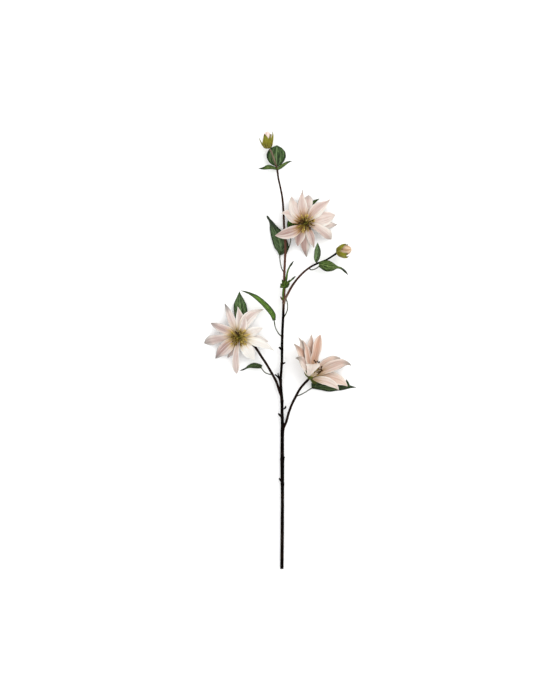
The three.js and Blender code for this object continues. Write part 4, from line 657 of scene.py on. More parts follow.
    # amber rays that run out of the centre of the bloom
    ray = k.noise(k.combine(k.math("MULTIPLY", v, 4.2), k.math("MULTIPLY", u, 0.9), k.math("MULTIPLY", seed, 7.0)), 1.0, 3.0, 0.65)
    flow = k.math("ADD", k.math("SUBTRACT", u, k.math("MULTIPLY", k.math("SUBTRACT", stain, 0.6), 0.10)), k.math("MULTIPLY", k.math("SUBTRACT", ray, 0.5), -0.62))
    c = k.mix(k.math("MULTIPLY", k.band(flow, [(0.0, 1.0), (0.14, 0.9), (0.26, 0.35), (0.40, 0.0)]), stain), c, gold)
    c = k.mix(k.math("MULTIPLY", k.band(flow, [(0.0, 1.0), (0.07, 0.9), (0.17, 0.35), (0.24, 0.0)]), k.math("MULTIPLY_ADD", stain, 0.7, 0.15)), c, tuple(0.30 * x for x in gold))
    k.colour(c)
    weave = k.noise(k.place(), 1500.0, 2.0, 0.6)
    height = k.math("ADD", k.math("MULTIPLY", vein, -0.6), k.math("ADD", k.math("MULTIPLY", ribs, -0.9), k.math("ADD", k.math("MULTIPLY", streak, 0.7), k.math("MULTIPLY", weave, 0.18))))
    k.bump(height, 0.45, 0.0004)
    return k.mat


def leaf_look(name, dark, mid, vein_colour, back, gloss=0.5, rim=0.80):
    """Leaf: along, across, side (1 face, 0 back), seed, pairs of side veins, half (painted shade on one half, painted
    highlight on the other), smoke (how dark its tip is).
    """
    k = Look(name, gloss, Subsurface_Weight=0.04, Subsurface_Scale=0.001)
    k.b.inputs["Specular IOR Level"].default_value = 0.12
    u, v, side, seed, pairs = k.attr("along"), k.attr("across"), k.attr("side"), k.attr("seed"), k.attr("pairs")
    av = k.math("ABSOLUTE", v)
    turn = k.noise(k.combine(k.math("MULTIPLY", v, 2.0), k.math("MULTIPLY", u, 5.0), k.math("MULTIPLY", seed, 6.0)), 1.5, 2.0, 0.5)
    # side veins leave the midrib and sweep towards the tip
    phase = k.math("MULTIPLY", k.math("SUBTRACT", u, k.math("MULTIPLY", k.math("POWER", av, 1.25), 0.30)), pairs)
    phase = k.math("ADD", phase, k.math("MULTIPLY", k.math("SUBTRACT", turn, 0.5), 0.5))
    near = k.math("ABSOLUTE", k.math("SUBTRACT", k.math("FRACT", phase), 0.5))
    side_vein = k.band(near, [(0.0, 1.0), (0.06, 0.8), (0.16, 0.0)])
    side_vein = k.math("MULTIPLY", side_vein, k.band(av, [(0.0, 1.0), (0.7, 0.7), (0.96, 0.0)]))
    side_vein = k.math("MULTIPLY", side_vein, k.band(u, [(0.0, 0.7), (0.1, 1.0), (0.85, 0.7), (1.0, 0.0)]))
    midrib = k.band(av, [(0.0, 1.0), (0.04, 0.85), (0.09, 0.0)])
    # long veins beside the midrib
    off = k.math("ABSOLUTE", k.math("SUBTRACT", k.math("ADD", av, k.math("MULTIPLY", k.math("SUBTRACT", turn, 0.5), 0.14)), 0.44))
    long_vein = k.math("MULTIPLY", k.band(off, [(0.0, 1.0), (0.03, 0.7), (0.08, 0.0)]), k.band(u, [(0.0, 0.2), (0.25, 1.0), (0.8, 0.7), (1.0, 0.0)]))
    net = k.node("ShaderNodeTexVoronoi", feature="DISTANCE_TO_EDGE")
    k.put(net.inputs["Vector"], k.place())
    net.inputs["Scale"].default_value = 620.0
    mesh = k.band(net.outputs["Distance"], [(0.0, 1.0), (0.10, 0.2), (0.25, 0.0)])
    cloud = k.noise(k.place(), 75.0, 3.0, 0.55)
    fine = k.noise(k.place(), 900.0, 2.0, 0.6)
    c = k.ramp(cloud, [(0.34, dark), (0.64, mid)])
    c = k.mix(k.math("MULTIPLY", k.band(near, [(0.0, 0.0), (0.5, 1.0)]), 0.25), c, mid)
    # painted highlight strips, a sheen, and darker strips along the blade
    strip = k.noise(k.combine(k.math("MULTIPLY", v, 2.4), k.math("MULTIPLY", u, 1.6), k.math("MULTIPLY", seed, 3.0)), 1.5, 3.0, 0.6)
    c = k.mix(k.math("MULTIPLY", k.band(strip, [(0.0, 0.0), (0.53, 0.0), (0.66, 1.0)]), 0.50), c, vein_colour)
    c = k.mix(k.math("MULTIPLY", k.band(strip, [(0.0, 1.0), (0.38, 0.9), (0.49, 0.0)]), 0.75), c, tuple(0.40 * x for x in dark))
    # painted shade on the half that lies away from the light, and a painted highlight on the other half
    low = k.math("MULTIPLY", k.attr("half"), k.band(k.math("MULTIPLY_ADD", v, 0.5, 0.5), [(0.0, 0.0), (0.47, 0.0), (0.53, 1.0), (1.0, 1.0)], "LINEAR"))
    lit_half = k.math("MULTIPLY", k.attr("half"), k.band(k.math("MULTIPLY_ADD", v, 0.5, 0.5), [(0.0, 1.0), (0.47, 1.0), (0.53, 0.0), (1.0, 0.0)], "LINEAR"))
    c = k.mix(k.math("MULTIPLY", low, 0.75, clamp=True), c, tuple(0.55 * x for x in dark))
    c = k.mix(k.math("MULTIPLY", lit_half, 0.42, clamp=True), c, vein_colour)
    c = k.mix(k.math("MULTIPLY", mesh, 0.10), c, vein_colour)
    c = k.mix(k.math("MULTIPLY", k.math("MAXIMUM", side_vein, long_vein), 0.50), c, vein_colour)
    c = k.mix(k.math("MULTIPLY", midrib, 0.60), c, vein_colour)
    c = k.mix(k.math("MULTIPLY", k.band(av, [(0.0, 0.0), (rim, 0.0), (0.6 + 0.4 * rim, 1.0)]), 0.75), c, tuple(0.35 * x for x in dark))
    c = k.mix(k.math("MULTIPLY", k.band(u, [(0.0, 0.0), (0.58, 0.0), (0.78, 1.0)]), k.attr("smoke")), c, srgb(34, 40, 32))
    under = k.mix(k.math("MULTIPLY", k.math("MAXIMUM", side_vein, midrib), 0.5), back, vein_colour)
    c = k.mix(k.math("LESS_THAN", side, 0.35), c, under)
    k.colour(c)
    height = k.math("ADD", k.math("MULTIPLY", side_vein, -1.0), k.math("ADD", k.math("MULTIPLY", midrib, -1.0), k.math("ADD", k.math("MULTIPLY", mesh, -0.35), k.math("MULTIPLY", fine, 0.25))))
    k.bump(height, 0.55, 0.0005)
    return k.mat


def bark_look(name, dark, warm, scar, pale):
    """Bark: run is mm along the stem, turn the angle round it, age 0 at the woody foot to 1 in young wood and 2 where it is pale."""
    k = Look(name, 0.85)
    k.b.inputs["Specular IOR Level"].default_value = 0.02
    run, turn, age = k.attr("run"), k.attr("turn"), k.attr("age")
    long_at = k.combine(k.math("MULTIPLY", k.math("COSINE", turn), 2.2), k.math("MULTIPLY", k.math("SINE", turn), 2.2), k.math("MULTIPLY", run, 0.05))
    fibre = k.noise(long_at, 2.4, 4.0, 0.62)
    patch = k.noise(k.place(), 55.0, 3.0, 0.55)
    fine = k.noise(k.place(), 700.0, 2.0, 0.6)
    c = k.mix(age, k.ramp(fibre, [(0.25, tuple(0.55 * x for x in dark)), (0.6, dark), (0.85, tuple(1.9 * x for x in dark))]),
              k.ramp(fibre, [(0.25, tuple(0.55 * x for x in warm)), (0.55, warm), (0.85, tuple(1.5 * x for x in warm))]))
    # the pale wood under the top bud is painted paler on one side than the other, a painted highlight on the lit side
    c = k.mix(k.math("MULTIPLY", k.math("SUBTRACT", age, 1.0, clamp=True), k.band(k.math("MULTIPLY_ADD", k.math("SINE", turn), 0.5, 0.5), [(0.0, 0.45), (0.3, 1.0)])), c, pale)
    c = k.mix(k.band(patch, [(0.50, 0.0), (0.75, 0.45)]), c, scar)
    dots = k.node("ShaderNodeTexVoronoi", feature="F1")
    k.put(dots.inputs["Vector"], k.combine(k.math("MULTIPLY", k.math("COSINE", turn), 1.0), k.math("MULTIPLY", k.math("SINE", turn), 1.0), k.math("MULTIPLY", run, 0.16)))
    dots.inputs["Scale"].default_value = 1.6
    pores = k.band(dots.outputs["Distance"], [(0.0, 1.0), (0.10, 0.8), (0.17, 0.0)])
    c = k.mix(k.math("MULTIPLY", pores, 0.45), c, tuple(min(1.0, 1.7 * x) for x in scar))
    k.colour(c)
    height = k.math("ADD", k.math("MULTIPLY", fibre, 1.2), k.math("ADD", k.math("MULTIPLY", pores, 0.5), k.math("MULTIPLY", fine, 0.25)))
    k.bump(height, 0.6, 0.0006)
    return k.mat


def plain_look(name, stops, scale, roughness, spec=0.3, stretch=None, bump=0.35, **sockets):
    k = Look(name, roughness, **sockets)
    k.b.inputs["Specular IOR Level"].default_value = spec
    where = k.place()
    a = k.noise(where, scale, 3.0, 0.6)
    b = k.noise(where, scale * 9, 2.0, 0.6)
    k.colour(k.ramp(k.math("ADD", k.math("MULTIPLY", a, 0.75), k.math("MULTIPLY", b, 0.25)), stops))
    k.bump(k.math("ADD", a, k.math("MULTIPLY", b, 0.5)), bump, 0.0004)
    return k.mat


def tone_look(name, stops, by_tone, by_along):
    """Stamens: tone is one number for each of them, along runs from its foot to its end."""
    k = Look(name, 0.75)
    k.b.inputs["Specular IOR Level"].default_value = 0.1
    fine = k.noise(k.place(), 500.0, 2.0, 0.6)
    where = k.math("ADD", k.math("MULTIPLY", k.attr("tone"), by_tone), k.math("MULTIPLY", k.attr("along"), by_along))
    k.colour(k.ramp(k.math("ADD", where, k.math("MULTIPLY", k.math("SUBTRACT", fine, 0.5), 0.3)), stops, "LINEAR"))
    k.bump(fine, 0.5, 0.0004)
    return k.mat


def calyx_look(name):
    k = Look(name, 0.5, Subsurface_Weight=0.08, Subsurface_Scale=0.001)
    k.b.inputs["Specular IOR Level"].default_value = 0.1
    u, v, seed = k.attr("along"), k.attr("across"), k.attr("seed")
    cloud = k.noise(k.place(), 160.0, 3.0, 0.6)
    lines = k.noise(k.combine(k.math("MULTIPLY", v, 6.0), k.math("MULTIPLY", u, 1.0), k.math("MULTIPLY", seed, 5.0)), 2.4, 3.0, 0.6)
    c = k.ramp(k.math("ADD", u, k.math("MULTIPLY", k.math("SUBTRACT", cloud, 0.5), 0.5)), [(0.0, srgb(84, 74, 20)), (0.35, srgb(122, 118, 30)), (0.75, srgb(134, 134, 36)), (1.0, srgb(96, 92, 34))])
    c = k.mix(k.band(lines, [(0.45, 0.0), (0.7, 0.75)]), c, srgb(62, 58, 14))
    c = k.mix(k.band(k.math("ABSOLUTE", v), [(0.0, 0.3), (0.12, 0.0), (0.80, 0.0), (0.92, 0.45), (1.0, 0.2)]), c, srgb(166, 162, 76))
    c = k.mix(k.band(u, [(0.0, 0.0), (0.62, 0.0), (0.95, 0.6)]), c, srgb(70, 62, 30))
    k.colour(c)
    k.bump(k.math("ADD", lines, k.math("MULTIPLY", k.noise(k.place(), 1200.0, 2.0, 0.6), 0.4)), 0.45, 0.0005)
    return k.mat


# the first colour is the grey of the painted shade on petal tips and edges
PETAL_EDGE_SHADE, PETAL_GOLD = srgb(120, 116, 110), srgb(176, 128, 62)
petal_mats = {
    "upper_flower": petal_look("petal_blush", srgb(224, 217, 208), srgb(208, 188, 179), srgb(168, 138, 130), PETAL_EDGE_SHADE, PETAL_GOLD, srgb(232, 225, 216)),
    "left_flower": petal_look("petal_pale", srgb(231, 227, 220), srgb(204, 186, 178), srgb(170, 140, 133), srgb(116, 116, 114), srgb(196, 164, 92), srgb(242, 238, 232)),
    "right_inner": petal_look("petal_soft", srgb(229, 221, 211), srgb(211, 192, 180), srgb(178, 147, 134), srgb(128, 122, 114), srgb(178, 142, 84), srgb(236, 228, 218)),
    "right_flower": petal_look("petal_peach", srgb(226, 217, 206), srgb(212, 190, 176), srgb(192, 152, 130), srgb(128, 122, 114), srgb(178, 142, 84), srgb(234, 225, 214)),
}
LEAF_DARK = leaf_look("leaf_dark", srgb(18, 38, 12), srgb(50, 76, 32), srgb(128, 154, 104), srgb(76, 96, 58), 0.5)
LEAF_DEEP = leaf_look("leaf_deep", srgb(14, 30, 8), srgb(40, 62, 26), srgb(112, 136, 92), srgb(76, 96, 58), 0.5)
LEAF_SHADE = leaf_look("leaf_shade", srgb(10, 24, 5), srgb(32, 51, 19), srgb(98, 120, 76), srgb(68, 86, 50), 0.5)
LEAF_MID = leaf_look("leaf_mid", srgb(18, 34, 8), srgb(50, 74, 20), srgb(128, 150, 84), srgb(88, 112, 58), 0.5)
LEAF_BRIGHT = leaf_look("leaf_bright", srgb(24, 50, 8), srgb(64, 100, 26), srgb(128, 164, 72), srgb(92, 122, 54), 0.5, 0.56)
LEAF_SHOOT = leaf_look("leaf_shoot", srgb(14, 32, 4), srgb(46, 72, 14), srgb(112, 134, 58), srgb(68, 90, 34), 0.5)
BARK = bark_look("stem_bark", srgb(8, 5, 4), srgb(90, 60, 50), srgb(42, 30, 24), srgb(132, 118, 100))
CUT = plain_look("cut_wood", [(0.3, srgb(70, 54, 38)), (0.7, srgb(120, 98, 70))], 400.0, 0.8)
PETIOLE = plain_look("petiole", [(0.3, srgb(30, 34, 20)), (0.7, srgb(66, 72, 44))], 160.0, 0.7, spec=0.05)
PETIOLE_GREEN = plain_look("petiole_green", [(0.3, srgb(36, 54, 14)), (0.7, srgb(84, 108, 40))], 160.0, 0.7, spec=0.05)
FILAMENT = tone_look("filament", [(0.10, srgb(46, 46, 12)), (0.42, srgb(106, 96, 30)), (0.68, srgb(152, 132, 54)), (1.0, srgb(206, 184, 110))], 0.62, 0.55)
ANTHER = tone_look("anther", [(0.15, srgb(58, 46, 14)), (0.45, srgb(116, 96, 30)), (0.75, srgb(160, 136, 52)), (1.0, srgb(210, 184, 102))], 1.0, 0.1)
FILAMENT_PALE = tone_look("filament_pale", [(0.10, srgb(84, 72, 30)), (0.42, srgb(170, 146, 104)), (0.7, srgb(212, 192, 164)), (1.0, srgb(228, 210, 190))], 0.62, 0.55)
ANTHER_DARK = tone_look("anther_dark", [(0.0, srgb(38, 20, 8)), (0.4, srgb(74, 48, 20)), (1.0, srgb(108, 78, 32))], 1.0, 0.1)
PISTIL = tone_look("pistil", [(0.1, srgb(50, 56, 14)), (0.5, srgb(118, 116, 38)), (1.0, srgb(180, 174, 82))], 0.8, 0.4)
CALYX = calyx_look("calyx")
BRACT = plain_look("bract", [(0.25, srgb(34, 38, 10)), (0.5, srgb(64, 70, 20)), (0.75, srgb(118, 124, 48))], 220.0, 0.6, spec=0.1)
BUD_PETAL = petal_look("bud_petal", srgb(238, 222, 212), srgb(224, 196, 184), srgb(198, 160, 150), srgb(206, 196, 184), srgb(196, 184, 110), srgb(244, 232, 222))
BUD_PETAL_WARM = petal_look("bud_petal_warm", srgb(228, 206, 178), srgb(208, 178, 146), srgb(168, 130, 96), srgb(196, 180, 160), srgb(150, 128, 66), srgb(234, 216, 192))


# ---------------------------------------------------------------- stems
def bark_radius(seed, ribs=5, deep=0.10, rough=0.10):
    def f(s, w, p):
        r = deep * np.cos(ribs * w + 0.012 * s + seed) * (0.6 + 0.4 * wobble(s * 0.03, seed)[0])
        return r + rough * noise(p, 0.55, 3, seed) + 0.05 * noise(p, 2.2, 2, seed + 3) + 0.12
    return f


def add_tube(shape, rows, sides, steps, material=0, seed=1.0, age=0.0, roundness=0.0, radius=None, start=0.0, end=1.0):
    p, f, s, w, rings = tube_shape(rows, sides, steps, radius, roundness, start, end)
    a = age(p) if callable(age) else age
    shape.add(p, f, material, run=s, turn=w, age=a, seed=seed)
    return rings


def stem_age(p):
    """Nearly black at the foot, warm and young between the fork and the upper bloom, darker again above it, pale under the top bud."""
    y = p[:, 1]
    rise = np.clip((y - 68.0) / 34.0, 0, 1)
    fall = np.clip((y - 196.0) / 60.0, 0, 1)
    top = np.clip((y - 338.0) / 16.0, 0, 1)
    return rise * rise * (3 - 2 * rise) * (1 - 0.70 * fall * fall * (3 - 2 * fall)) + 1.5 * top * top * (3 - 2 * top)


def flare(rows, by, over):
    """Widens the first part of a branch, where it grows out of the wood."""
    rows = np.array(rows, float)
    path = Path(rows)
    t = np.linspace(0, 1, max(12, len(rows) * 4))
    dense = path(t)
    d = t * path.length
    dense[:, 3] += by * np.exp(-((d / over) ** 2))
    return dense


main_rows = plan_rows(MAIN_STEM)
main_path = Path(main_rows)


def node_swell(s, w, p):
    """Rings where leaves and branches leave the main stem."""
    r = bark_radius(1.3, 5, 0.11, 0.12)(s, w, p)
    y = p[:, 1]
    for py, size in ((-13.6 * UNIT, 0.35), (-30.2 * UNIT, 0.55), (-51.5 * UNIT, 0.45), (-67.5 * UNIT, 0.35), (-80.5 * UNIT, 0.5), (-109.0 * UNIT, 0.5),
                     (-133.4 * UNIT, 0.5), (14.0 * UNIT, 0.3), (47.6 * UNIT, 0.5), (77.6 * UNIT, 0.35), (94.0 * UNIT, 0.25), (111.0 * UNIT, 0.3), (180.2 * UNIT, 0.35)):
        d = (y - py) / 2.6
        r = r + size * np.exp(-d * d) - 0.18 * np.exp(-(((y - py - 3.4) / 1.0) ** 2))
    return r


stem = Shape()
rings = add_tube(stem, main_rows, 24, 430, 0, 1.3, stem_age, 0.0, node_swell)
# the cut foot: the last fan of the first cap is the pale wood
first_cap = [i for i, q in enumerate(stem.f) if len(q) == 3][:24]
for i in first_cap:
    stem.m[i] = 1
stem.sharp += [(rings[0] + k, rings[0] + (k + 1) % 24) for k in range(24)]
for j, rows in enumerate(NUBS):
    r = flare(plan_rows(rows), 0.8, 2.0)
    add_tube(stem, r, 12, 12, 0, 2.0 + j, stem_age, 0.8, bark_radius(2.0 + j, 3, 0.08, 0.14))
add_tube(stem, plan_rows(VINE_LOOP), 10, 34, 2, 9.0, 0.8, 0.8, bark_radius(9.0, 3, 0.03, 0.05))
stem_piece = stem.make("spray_main_stem", [BARK, CUT, PETIOLE])


def stalk_piece(name, rows, steps, age, bloom=None, join=0.9):
    s = Shape()
    r = flare(plan_rows(rows), join, 4.0)
    add_tube(s, r, 18, steps, 0, len(name) * 0.7, age, 0.6, bark_radius(len(name) * 0.7, 5, 0.07, 0.08))
    if bloom:
        (cx, cy, cz), axis = BLOOMS[bloom]
        O, n = plan(cx, cy, cz), unit(axis)
        knob = [[-8.4, 0], [-8.4, 1.8], [-6.6, 3.0], [-4.2, 4.3], [-2.0, 5.0], [-0.5, 5.0], [0.5, 4.3], [1.0, 2.4], [1.1, 0]]
        p, f, h, a = lathe(knob, O, n, 36, lambda h, w, r: r * (1 + 0.035 * np.cos(9 * w + h * 0.3) + 0.02 * np.cos(5 * w + 2.0)), 4)
        s.add(p, f, 1, run=h, turn=a, age=0.5, seed=3.0, along=np.clip((h + 8.4) / 9.5, 0, 1), across=np.sin(a * 9))
        if bloom == "right_flower":
            for j, b in enumerate(BRACTS):
                add_leaf_blade(s, b, 0.16, 0.1, 0.0, 26, 11, 2, 0.5, 30.0 + j, 0.0, 0.0)
    return s


# ---------------------------------------------------------------- blades of leaves, sepals and petals
def add_leaf_blade(shape, rows, cup, fold, roll, nu, nv, material, thick, seed, pairs, wave, up=(0.0, 0.0, 1.0), in_mm=False, frill=3.0, half_shade=0.0, smoke=0.0):
    nv += 1 - nv % 2
    path = Path(rows if in_mm else plan_rows(rows))
    u = np.linspace(0, 1, nu)
    r = path(u)
    C = r[:, :3]
    T = unit(path(np.clip(u + 0.004, 0, 1))[:, :3] - path(np.clip(u - 0.004, 0, 1))[:, :3])
    up = np.asarray(up, float)
    S = unit(np.cross(T, up))
    N = np.cross(S, T)
    q = np.radians(roll)
    S2, N2 = S * np.cos(q) + N * np.sin(q), N * np.cos(q) - S * np.sin(q)
    left, right = np.maximum(r[:, 3], 0.12), np.maximum(r[:, 4], 0.12)
    s = np.linspace(-1, 1, nv)
    s = np.sign(s) * np.abs(s) ** 0.92
    mean = ((left + right) / 2)[:, None]
    half = np.where(s[None, :] < 0, left[:, None], right[:, None])
    edge = 1 + 0.025 * np.stack([wobble(u * 9 + (3 if x < 0 else 0), seed + (0.5 if x < 0 else 0)) for x in s], 1)
    U, V = np.meshgrid(u, s, indexing="ij")
    A = np.abs(V)
    h = (cup * V * V + fold * A) * mean
    if pairs:
        phase = pairs * (U - 0.20 * A ** 1.25)
        env = np.sin(np.pi * np.clip(A, 0, 1)) ** 0.8 * np.sin(np.pi * np.clip(U * 0.96 + 0.02, 0, 1)) ** 0.5
        h = h - 0.055 * np.minimum(mean, 9.0) * 0.55 * np.cos(2 * np.pi * phase) * -env
    run = U * frill * 2 * np.pi
    h = h + wave * mean / 8.0 * (np.sin(run + seed * 1.9 + np.where(V < 0, 1.7, 0.0)) * A ** 2.4 + 0.35 * np.sin(run * 2.3 + seed) * A ** 3)
    rib = np.exp(-((V * half / 0.75) ** 2))
    h_top = h - 0.28 * rib * (1 - U) ** 0.5
    h_low = h - (0.28 + 0.5 * (1 - U)) * rib * np.clip(mean / 3.0, 0.2, 1)
    t = thick / 2 * (1 - np.abs(V) ** 4) * np.minimum(1, 0.45 + 2 * (1 - U))
    base = C[:, None, :] + S2[:, None, :] * (V * half * edge)[..., None]
    top = base + N2[:, None, :] * (h_top + t)[..., None]
    low = base + N2[:, None, :] * (h_low - t)[..., None]
    p, f, sharp, uu, vv, side = closed_sheet(top, low)
    shape.add(p, f, material, sharp, along=uu, across=vv, side=side, seed=seed, pairs=float(pairs), half=half_shade, smoke=smoke)


def add_petal(shape, row, nu=60, nv=29, thick=0.42):
    bloom, number, x, y, z, width, layer, turn, rise, droop, roll, cup = row[:12]
    bow = row[12] if len(row) > 12 else 0.0
    tint, ash, stain, fold, skew, tail, lean = FINISH[bloom][number][:7]
    (cx, cy, cz), axis = BLOOMS[bloom]
    seed = number * 0.731 + {"upper_flower": 0.0, "left_flower": 11.3, "right_flower": 23.9}[bloom]
    O, n = plan(cx, cy, cz), unit(axis)
    tip = plan(x, y, z)
    d = tip - O
    e = unit(d - n * d.dot(n))
    q = np.radians(turn)
    foot = e * np.cos(q) + np.cross(n, e) * np.sin(q)
    P0 = O + foot * PETAL_ROOT + n * (layer - 1) * WHORL_STEP
    L = np.linalg.norm(P0 - tip)

    def direction(radial, deg):
        return radial * np.cos(np.radians(deg)) + n * np.sin(np.radians(deg))

    P1 = P0 + direction(foot, rise) * L * 0.36
    P2 = tip - direction(e, droop) * L * 0.32
    sideways = np.cross(n, e)
    P1, P2 = P1 + sideways * bow * 0.6, P2 + sideways * bow
    u = np.linspace(0, 1, nu) ** 0.94

    def curve(q):
        q = q[:, None]
        return (1 - q) ** 3 * P0 + 3 * (1 - q) ** 2 * q * P1 + 3 * (1 - q) * q * q * P2 + q**3 * tip

    C = curve(u)
    reach = np.exp(-u / 0.03)[:, None]
    C = C - foot * 1.3 * reach          # the claw goes into the receptacle
    T = unit(curve(np.clip(u + 0.004, 0, 1)) - curve(np.clip(u - 0.004, 0, 1)))
    # the drawn-out tip is a little crooked
    C = C + unit(np.cross(T, n)) * (0.9 * tail * math.sin(seed * 5.1) * np.clip((u - 0.72) / 0.28, 0, 1) ** 1.5 * np.sin(np.pi * np.clip((u - 0.72) / 0.28, 0, 1)) * 2.0)[:, None]
    S = unit(np.cross(T, n))
    N = np.cross(S, T)
    ease = np.clip(u / 0.35, 0, 1) ** 2 * (3 - 2 * np.clip(u / 0.35, 0, 1))
    twist = np.radians(roll + lean * ease + 6.0 * wobble(u * 2.0, seed) * u)[:, None]
    S2, N2 = S * np.cos(twist) + N * np.sin(twist), N * np.cos(twist) - S * np.sin(twist)
    more = FINISH[bloom][number][7:]
    own = more[0] if len(more) > 0 else None
    # the last column is how much painted shade darkens one half of the petal and lightens the other
    half_shade = more[1] if len(more) > 1 else 0.0
    if own:
        outline = monotone(own)(u)
    else:
        outline = monotone(PETAL_SHAPE)(u) * (1 - tail) + monotone(PETAL_TAIL)(u) * tail
    half = FOOT_HALF_WIDTH * (1 - u) ** 2 + width * UNIT / 2 * outline
    v = np.linspace(-1, 1, nv)
    v = np.sign(v) * np.abs(v) ** 0.9
    U, V = np.meshgrid(u, v, indexing="ij")
    A = np.abs(V)
    # one side wider than the other, and rims a little uneven, never the same on both sides
    wide = np.where(V < 0, 1 - skew, 1 + skew)
    H = half[:, None] * wide
    rough = np.minimum(1.0, np.sin(np.pi * u) * 1.6)
    rim = np.where(V < 0, (1 + rough * (0.05 * wobble(u * 5.0, seed + 1.0) + 0.03 * wobble(u * 15.0, seed + 6.0)))[:, None],
                   (1 + rough * (0.05 * wobble(u * 5.0, seed + 2.0) + 0.03 * wobble(u * 15.0, seed + 7.0)))[:, None])
    Hm = half[:, None]
    h = (-0.10 * V * V + fold * (np.sqrt(V * V + 0.004) - 0.063)) * Hm * np.clip(U / 0.2, 0, 1)
    ridge = 0.34 * np.exp(-((V / 0.05) ** 2)) + 0.20 * np.exp(-(((A - 0.30) / 0.05) ** 2))
    h = h - ridge * np.sin(np.pi * np.clip(U, 0, 0.98)) ** 0.6
    h = h + 0.10 * np.cos(V * 2 * np.pi * 4.5 + 1.2 * wobble(u * 3.0, seed + 4.0)[:, None]) * (1 - A**3) * np.sin(np.pi * U)
    ruffle = np.sin(2 * np.pi * (1.7 * U) + seed * 2.3 + np.where(V < 0, 2.0, 0.0))
    h = h + (0.95 * ruffle + 0.45 * np.sin(2 * np.pi * 4.1 * U + seed * 4.1 + np.where(V < 0, 0.8, 0.0))) * A ** 3 * np.sin(np.pi * U) ** 0.8 * np.minimum(1.0, Hm / 6.0)
    h = h + 0.45 * noise(np.stack([U.ravel() * 2.6, V.ravel() * 1.3, np.full(U.size, seed)], 1), 1.0, 2, seed).reshape(U.shape) * np.sin(np.pi * U)
    # shallow long dents beside the ribs
    h = h + 0.28 * np.sin(np.pi * U) * (wobble(v * 2.6 + 4.0, seed + 9.0)[None, :])
    t = thick / 2 * (1 - A**4 * 0.75) * np.minimum(1, 0.4 + 2.5 * (1 - U))
    base = C[:, None, :] + S2[:, None, :] * (V * H * rim)[..., None]
    top = base + N2[:, None, :] * (h + t)[..., None]
    low = base + N2[:, None, :] * (h - t)[..., None]
    low[..., 2] = np.maximum(low[..., 2], OFFSET[2] + 0.02)
    top[..., 2] = np.maximum(top[..., 2], OFFSET[2] + 0.06)
    p, f, sharp, uu, vv, side = closed_sheet(top, low)
    # each petal carries how much painted shade falls on its tip and edges and on one half
    shape.add(p, f, 0, sharp, along=uu, across=vv, side=side, seed=seed, tint=tint, ash=ash, stain=stain, half=half_shade)


# ---------------------------------------------------------------- pieces: stems and stalks
left_stalk = stalk_piece("left_flower_stalk", LEFT_STALK, 110, 0.10, "left_flower").make("spray_left_flower_stalk", [BARK, CALYX, CALYX])
right_stalk = stalk_piece("right_flower_stalk", RIGHT_STALK, 110, 0.08, "right_flower").make("spray_right_flower_stalk", [BARK, BRACT, BRACT])
upper_stalk = stalk_piece("upper_flower_stalk", UPPER_STALK, 60, 0.6, "upper_flower").make("spray_upper_flower_stalk", [BARK, CALYX, CALYX])
branch = stalk_piece("bud_branch", BUD_BRANCH, 150, lambda p: np.interp(p[:, 0], [10.0, 22.0, 36.0, 52.0, 62.0, 70.0], [1.5, 0.5, 0.6, 0.5, 0.12, 0.0])).make("spray_bud_branch", [BARK])

made = {"main_stem": stem_piece, "left_flower_stalk": left_stalk, "right_flower_stalk": right_stalk, "upper_flower_stalk": upper_stalk, "bud_branch": branch}

# ---------------------------------------------------------------- pieces: petals
for row in PETALS:
    s = Shape()
    add_petal(s, row)
    name = "%s_petal_%02d" % (row[0], row[1])
    made[name] = s.make("spray_" + name, [petal_mats["right_inner" if row[0] == "right_flower" and row[1] in (6, 8, 10, 11) else row[0]]])


# ---------------------------------------------------------------- pieces: stamens
def thread(shape, points, widths, sides, material, seed, flat=0.6, tone=0.5, start=0.0, stop=1.0):
    """A thin flattened filament through points (n, 3); tone (0 dark, 1 golden) and along (start to stop) colour it."""
    points = np.asarray(points, float)
    T = unit(np.gradient(points, axis=0))
    side = unit(np.cross(T[0], [0.31, 0.52, 0.79]))
    w = 2 * np.pi * np.arange(sides) / sides
    out = []
    for i, c in enumerate(points):
        side = unit(side - T[i] * side.dot(T[i]))
        up = np.cross(T[i], side)
        out.append(c + (np.cos(w)[:, None] * side + np.sin(w)[:, None] * up * flat) * widths[i])
    n = len(points)
    pts = np.concatenate(out + [points[:1] - T[:1] * widths[0] * 0.5, points[-1:] + T[-1:] * widths[-1] * 0.8])
    faces = []
    for i in range(n - 1):
        for k in range(sides):
            k2 = (k + 1) % sides
            faces.append((i * sides + k, i * sides + k2, (i + 1) * sides + k2, (i + 1) * sides + k))
    a, b = n * sides, n * sides + 1
    for k in range(sides):
        k2 = (k + 1) % sides
        faces.append((a, k2, k))
        faces.append((b, (n - 1) * sides + k, (n - 1) * sides + k2))
    along = np.concatenate([np.repeat(np.linspace(start, stop, n), sides), [start, stop]])
    shape.add(pts, faces, material, seed=seed, tone=tone, along=along)


